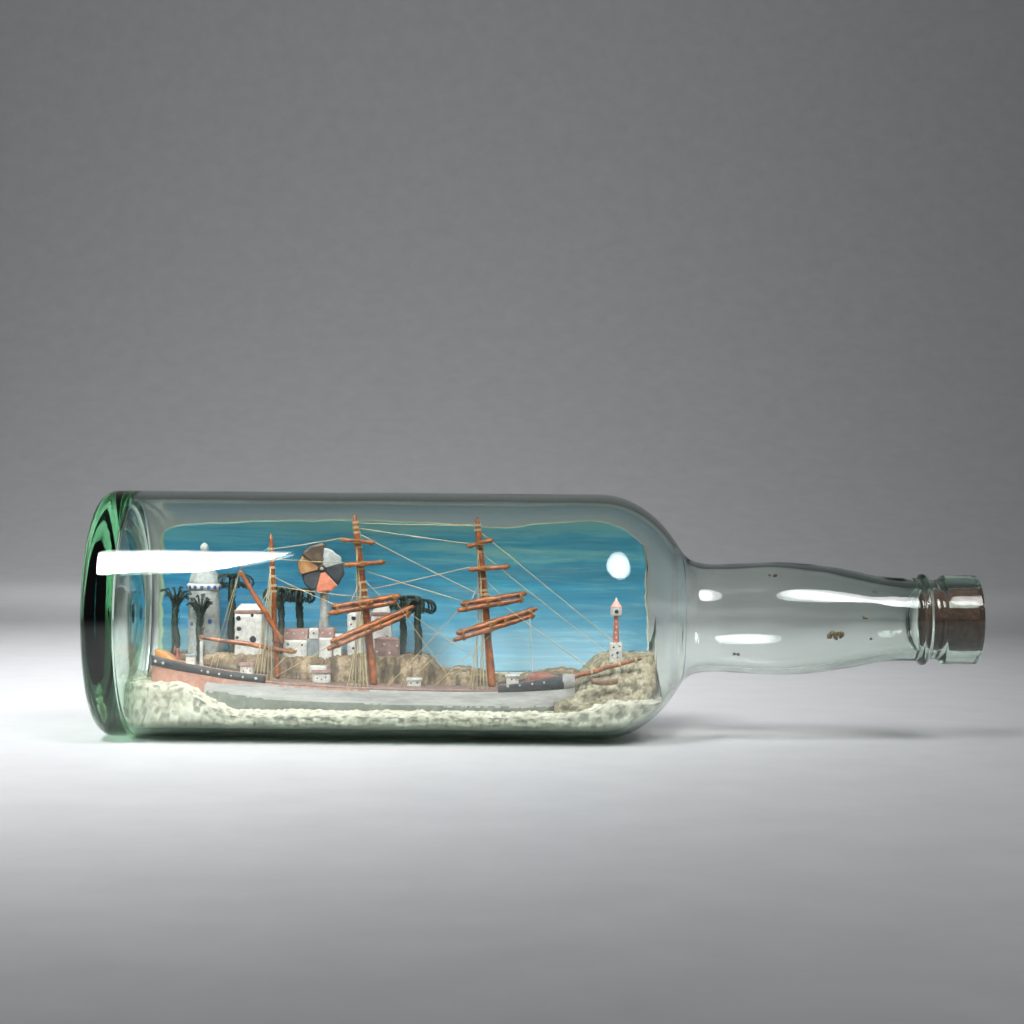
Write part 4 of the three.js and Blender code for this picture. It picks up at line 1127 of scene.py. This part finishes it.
tx, ty = middle(*span("domed_tower"))
tower = Shape().turned(tx, ty, [(z, 6.0 - 0.015 * (z - 27)) for z in np.linspace(25.5, 52, 24)], 36, 0.04)
tower.build("tower_walls", GREY_CARD, "house_white", "domed_tower")
band = Shape().turned(tx, ty, [(51.6, 5.6), (51.9, 6.3), (52.6, 6.5), (53.4, 6.45), (54.0, 5.9)], 36, 0.05, 2.0)
band.build("tower_band", WHITE, "house_white")
dots("tower_band_blue", BLUE, "card", [
    (vec(tx + 6.45 * math.cos(a), ty + 6.45 * math.sin(a), 52.7), vec(math.cos(a), math.sin(a), 0), 0.75)
    for a in ring_angles(16)])
dome = curve([(54, 5.7), (55, 5.55), (56.4, 5.2), (58, 4.6), (59.6, 3.7), (61, 2.6), (62, 1.5), (62.8, 0.85),
              (64.4, 0.6), (65.4, 0.7), (66, 1.25), (67, 1.65), (68, 1.5), (68.8, 0.9), (69.3, 0.2)], 3)
Shape().turned(tx, ty, dome, 32, 0.05, 4.0).build("tower_dome", GREY_CARD, "house_white")
dots("tower_windows", BLUE, "card", round_spots(tx, ty, 5.85, (
    (0.45, 47, 0.75), (0.5, 40, 0.85), (-0.75, 39, 0.85), (-0.3, 45.5, 0.55), (0.0, 33.5, 0.6), (2.6, 44, 0.7),
    (3.6, 40, 0.7))))


# ---- windmill ----
AXLE = vec(-79.2, 16.0, 60.0)  # the wheel's joint in the CAD


def axle_ring(y, radius, sides):
    return [vec(AXLE.x + radius * math.cos(t), y, AXLE.z + radius * math.sin(t)) for t in ring_angles(sides)]


column = [(z, lerp(2.25, 1.55, (z - 26.5) / 25)) for z in np.linspace(26.5, 51.3, 20)] + [(51.8, 1.0)]
head = [(z, 0.92) for z in np.linspace(50.5, AXLE.z + 1.1, 8)] + [(AXLE.z + 1.5, 0.5)]
shape = Shape().turned(AXLE.x + 0.6, 20.6, column, 20, 0.1, 7.0).turned(AXLE.x, 19.4, head, 16, 0.1, 8.0)
shape.tube([vec(AXLE.x, 19.9, AXLE.z), vec(AXLE.x, 14.2, AXLE.z)], 0.55, 20)
shape.ring_skin([axle_ring(y, r, 20) for y, r in ((14.5, 0.55), (14.35, 0.6), (14.1, 0.5), (13.95, 0.2))])
shape.build("windmill_tower", GREY_CARD, "house_white", "windmill_post")

hub = [axle_ring(y, r, 24) for y, r in (
    (15.0, 0.62), (15.0, 1.2), (15.2, 1.45), (16.7, 1.5), (17.0, 1.3), (17.0, 0.62), (15.0, 0.62))]
shape = Shape().ring_skin(hub, caps=False)
shape.build("windmill_hub", BROWN_CARD, "card", "windmill_wheel", body="windmill_wheel")
# Each vane: from an angle to an angle, how far it stands forward of the axle's middle, and how far it reaches.
for k, (name, material, start, stop, lift, reach) in enumerate((
        ("salmon", SALMON, -104, -47, -0.55, 9.2), ("black", DARK_CARD, -46, 20, 0.1, 8.7),
        ("pale", GREY_CARD, 16, 84, -0.2, 8.3), ("brown", BROWN_CARD, 80, 146, -0.35, 9.5),
        ("tan", TAN_CARD, 138, 196, 0.15, 9.1), ("dusk", DARK_CARD, 190, 260, 0.35, 8.6))):
    rings = []
    for t in shares(12):
        angle = math.radians(lerp(start, stop, t))
        far = reach * (1 - 0.07 * (2 * t - 1) ** 2) + 0.9 * noise.noise(vec(t * 3.4, 1.7 * k, 0)) - 0.2
        near_face, far_face = [], []
        for s in shares(8):
            r = lerp(1.0, far, s)
            y = AXLE.y + lift + 0.35 * s * (0.5 - t) + 0.12 * noise.noise(vec(r * 0.4, t * 3, k))
            p = vec(AXLE.x + r * math.cos(angle), y, AXLE.z + r * math.sin(angle))
            near_face.append(p + vec(0, -0.2, 0))
            far_face.append(p + vec(0, 0.2, 0))
        rings.append(near_face + far_face[::-1])
    Shape().ring_skin(rings).build("vane_" + name, material, "card", body="windmill_wheel")


# ---- palms ----
def palm(number, branching):
    """A rough trunk, and a crown of fringed fronds: fanned upward, or curled over and down."""
    lo, hi = span(f"palm_{number}")
    x, y = middle(lo, hi)
    crown = hi.z + (2.6 if branching else -0.8)
    fork = crown - (4.2 if branching else 0.4)
    shape, rng = Shape(), random.Random(number)
    path = [vec(x + 0.3 * math.sin(z * 0.4 + number), y, z) for z in np.linspace(lo.z - 1, fork, 22)]
    radii = [1.45 - 0.35 * i / 21 + 0.12 * math.sin(2.4 * i) for i in range(22)]
    shape.tube(path, radii, 14, rough=0.35, seed=number)
    for _ in range(44):  # stubs of old leaves
        a, z = rng.uniform(0, 6.3), rng.uniform(lo.z + 0.5, fork - 1)
        base = vec(x + 1.05 * math.cos(a), y + 1.05 * math.sin(a), z)
        end = base + vec(0.55 * math.cos(a), 0.55 * math.sin(a), rng.uniform(0.8, 1.7))
        shape.tube([base, end], [0.26, 0.08], 4)
    count = 15 if branching else 12
    for k in range(count):
        a = 2 * math.pi * k / count + 0.5 * rng.random()
        out = vec(math.cos(a), 0.75 * math.sin(a), 0)
        reach = rng.uniform(4.0, 6.4) * (1.0 if branching else 1.2)
        start = path[-1]
        if branching:
            start = start + vec(0, 0, -2.6 * rng.random())
            climb = rng.uniform(3.4, 7.6)
            bends = ((0.3, 0.4 * climb), (0.7, 0.9 * climb), (1, climb - rng.uniform(0.0, 1.6)))
        else:
            bends = ((0.4, 1.6), (0.85, 1.0), (1.05, -1.0), (0.9, -2.9), (0.66, -2.4), (0.62, -1.2))
        points = [start] + [start + out * reach * share + vec(0, 0, up) for share, up in bends]
        frond = [inside(p, 1.2) for p in spline(points, 5)]
        last = len(frond) - 1
        shape.tube(frond, [lerp(0.5, 0.14, i / last) for i in range(last + 1)], 7, rough=0.4, seed=k)
        for i in range(2, last):
            for side in (-1, 1):
                fringe = frond[i] + vec(-out.y, out.x, 0) * side * rng.uniform(0.5, 1.2)
                fringe += out * rng.uniform(0, 0.5) + vec(0, 0, rng.uniform(-0.9, 0.3))
                shape.tube([frond[i], inside(fringe, 1.0)], [0.22, 0.07], 4)
    shape.build(f"palm_{number}_brush", PALM, "palm", f"palm_{number}")


for number in range(1, 8):
    palm(number, number <= 2)

# ---- lighthouse ----
lo, hi = span("lighthouse")
lx, ly = middle(lo, hi)
base = Shape().block(lx - 2.2, lx + 2.1, ly - 2.1, ly + 2.1, lo.z - 1.5, lo.z + 6.2, 0.25, 4)
base.build("lighthouse_base", WHITE, "house_white")
dots("lighthouse_base_marks", BLACK, "hull_black", [
    (vec(lx + u, ly - 2.25, lo.z + v), vec(0, -1, 0), r)
    for u, v, r in ((-0.9, 4.6, 0.4), (0.5, 2.6, 0.5), (-1.2, 1.8, 0.35), (1.2, 5.0, 0.35), (0.6, 0.9, 0.3))])
column = [(lo.z + 6.0, 1.2)]
column += [(z, lerp(1.05, 0.78, (z - lo.z - 6) / 9.4)) for z in np.linspace(lo.z + 6.4, hi.z + 0.3, 12)]
column_paint = painted("lighthouse_red", (140, 68, 52), (170, 90, 72), (190, 118, 98))
Shape().turned(lx, ly, column, 18, 0.12, 3.0).build("lighthouse_column", column_paint, "red", "lighthouse")
dots("lighthouse_spots", WHITE, "house_white", round_spots(lx, ly, 0.95, [
    (a, z, 0.34) for a, z in ((0.1, 36), (-0.2, 37.9), (0.15, 39.9), (-0.1, 41.8), (2.2, 37), (3.0, 39), (4.2, 41))]))
lo, hi = span("lighthouse_lantern")
room = [(lo.z, 1.5), (lo.z + 0.2, 1.9), (lo.z + 1, 2.05), (lo.z + 2.6, 2.0), (lo.z + 3.2, 1.9)]
Shape().turned(lx, ly, room, 24, 0.06, 5.0).build("lighthouse_room", WHITE, "house_white", "lighthouse_lantern")
cap = [(lo.z + 3.1, 2.15), (lo.z + 3.5, 2.05), (lo.z + 4.4, 1.35), (lo.z + 5.4, 0.65), (hi.z - 0.4, 0.3)]
cap.append((hi.z, 0.08))
cap_paint = painted("cap_paint", (196, 140, 130), (216, 164, 154), (228, 184, 174))
Shape().turned(lx, ly, cap, 24, 0.08, 6.0).build("lighthouse_cap", cap_paint, "house_pink")
dots("lighthouse_lamp", BLACK, "hull_black", [(vec(lx, ly - 2.03, lo.z + 1.7), vec(0, -1, 0), 0.75)])

# ---- marks of age inside the neck: groups of specks round an X and an angle ----
shape, rng = Shape(), random.Random(5)
neck_wall = ([62, 72, 86, 100, 111, 122, 131], [17.6, 17.8, 18.4, 16.9, 14.9, 12.6, 11.4])
for x, a, wide, count in ((103.5, -0.31, 1.8, 14), (116.7, -0.45, 0.5, 4), (113.9, 0.08, 0.7, 4),
                          (69.1, -0.72, 0.7, 5), (82.0, 1.0, 1.0, 3), (118.0, 0.8, 0.8, 3)):
    for k in range(count):
        px, pa = x + rng.uniform(-1, 1) * wide * 1.3, a + rng.uniform(-1, 1) * wide / 26
        r = float(np.interp(px, *neck_wall)) - 0.14
        inward = vec(0, math.cos(pa), math.sin(pa))
        spot = vec(px, -r * math.cos(pa), AXIS + r * math.sin(pa))
        shape.disc(spot, inward, rng.uniform(0.25, 0.75) * wide ** 0.6, 0.1, 12, seed=k)
shape.build("neck_dust", painted("old_glue", (84, 66, 40), (112, 92, 60), (136, 116, 82)), "putty")


# ---- stage, lights and camera, in metres ----
def stage():
    """A pale floor that sweeps up into a wall behind. It lies a hair under the bottle."""
    gap, bend_y, bend = 0.0003, 1.6, 1.4
    profile = [(-3.0, 0.0), (bend_y, 0.0)]
    for a in (math.pi / 2 * i / 24 for i in range(1, 25)):
        profile.append((bend_y + bend * math.sin(a), bend * (1 - math.cos(a))))
    profile.append((3.0, 5.0))
    verts = [(x, y, z - gap) for y, z in profile for x in (-5, 5)]
    faces = [(2 * i, 2 * i + 1, 2 * i + 3, 2 * i + 2) for i in range(len(profile) - 1)]
    n = Nodes("pale_stage")
    color = n.ramp(n.noise(40, 3), (0.2, srgb(196, 197, 199)), (0.8, srgb(206, 207, 209)))
    mesh = bpy.data.meshes.new("stage")
    mesh.from_pydata(verts, [], faces)
    mesh.materials.append(n.finish(color, 0.5, specular=0.25))
    mesh.polygons.foreach_set("use_smooth", [True] * len(mesh.polygons))
    obj = bpy.data.objects.new("stage", mesh)
    bpy.context.scene.collection.objects.link(obj)


stage()


def softbox(name, place, target, width, height, power, spread=180, roll=0):
    """An oval lamp aimed at a point; roll turns its oval about its own aim."""
    light = bpy.data.lights.new(name, "AREA")
    light.shape, light.size, light.size_y = "ELLIPSE", width, height
    light.energy, light.spread = power, math.radians(spread)
    obj = bpy.data.objects.new(name, light)
    obj.location = place
    aim = (Vector(target) - Vector(place)).to_track_quat("-Z", "Y")
    obj.rotation_euler = (aim @ Quaternion((0, 0, 1), math.radians(roll))).to_euler()
    bpy.context.scene.collection.objects.link(obj)


softbox("key", (-0.337, -0.69, 1.01), (-0.15, 0.33, 0.0), 0.228, 0.74, 2.35, 38, roll=-3)
softbox("second", (0.50, -0.70, 1.0), (-0.03, 0.07, 0.0), 0.68, 0.55, 1.35, 55)
softbox("back_fill", (-0.24, 1.0, 0.8), (-0.18, 2.35, 0.36), 0.45, 0.45, 8.8)
softbox("left_card", (-0.85, 0.25, 0.3), (0, 0, 0.05), 0.8, 0.7, 1.1)
softbox("right_card", (0.95, 0.3, 0.35), (0, 0, 0.05), 0.5, 0.5, 0.06)

world = bpy.data.worlds.new("soft_room")
bpy.context.scene.world = world
world.use_nodes = True
background = world.node_tree.nodes["Background"]
background.inputs[0].default_value = (0.8, 0.85, 0.88, 1)
background.inputs[1].default_value = 0.095

# At the photograph's viewing angle, with the bottle at its place in the frame.
camera_data = bpy.data.cameras.new("camera")
camera_data.lens, camera_data.sensor_width = 73.83, 36
camera_data.clip_start, camera_data.clip_end = 0.01, 30
camera = bpy.data.objects.new("camera", camera_data)
camera.location = (-0.010, -0.751, 0.08107)
camera.rotation_euler = (math.radians(90), math.radians(-0.47), 0)
bpy.context.scene.collection.objects.link(camera)
bpy.context.scene.camera = camera
bpy.context.scene.view_settings.view_transform = "Standard"

bpy.context.view_layer.update()
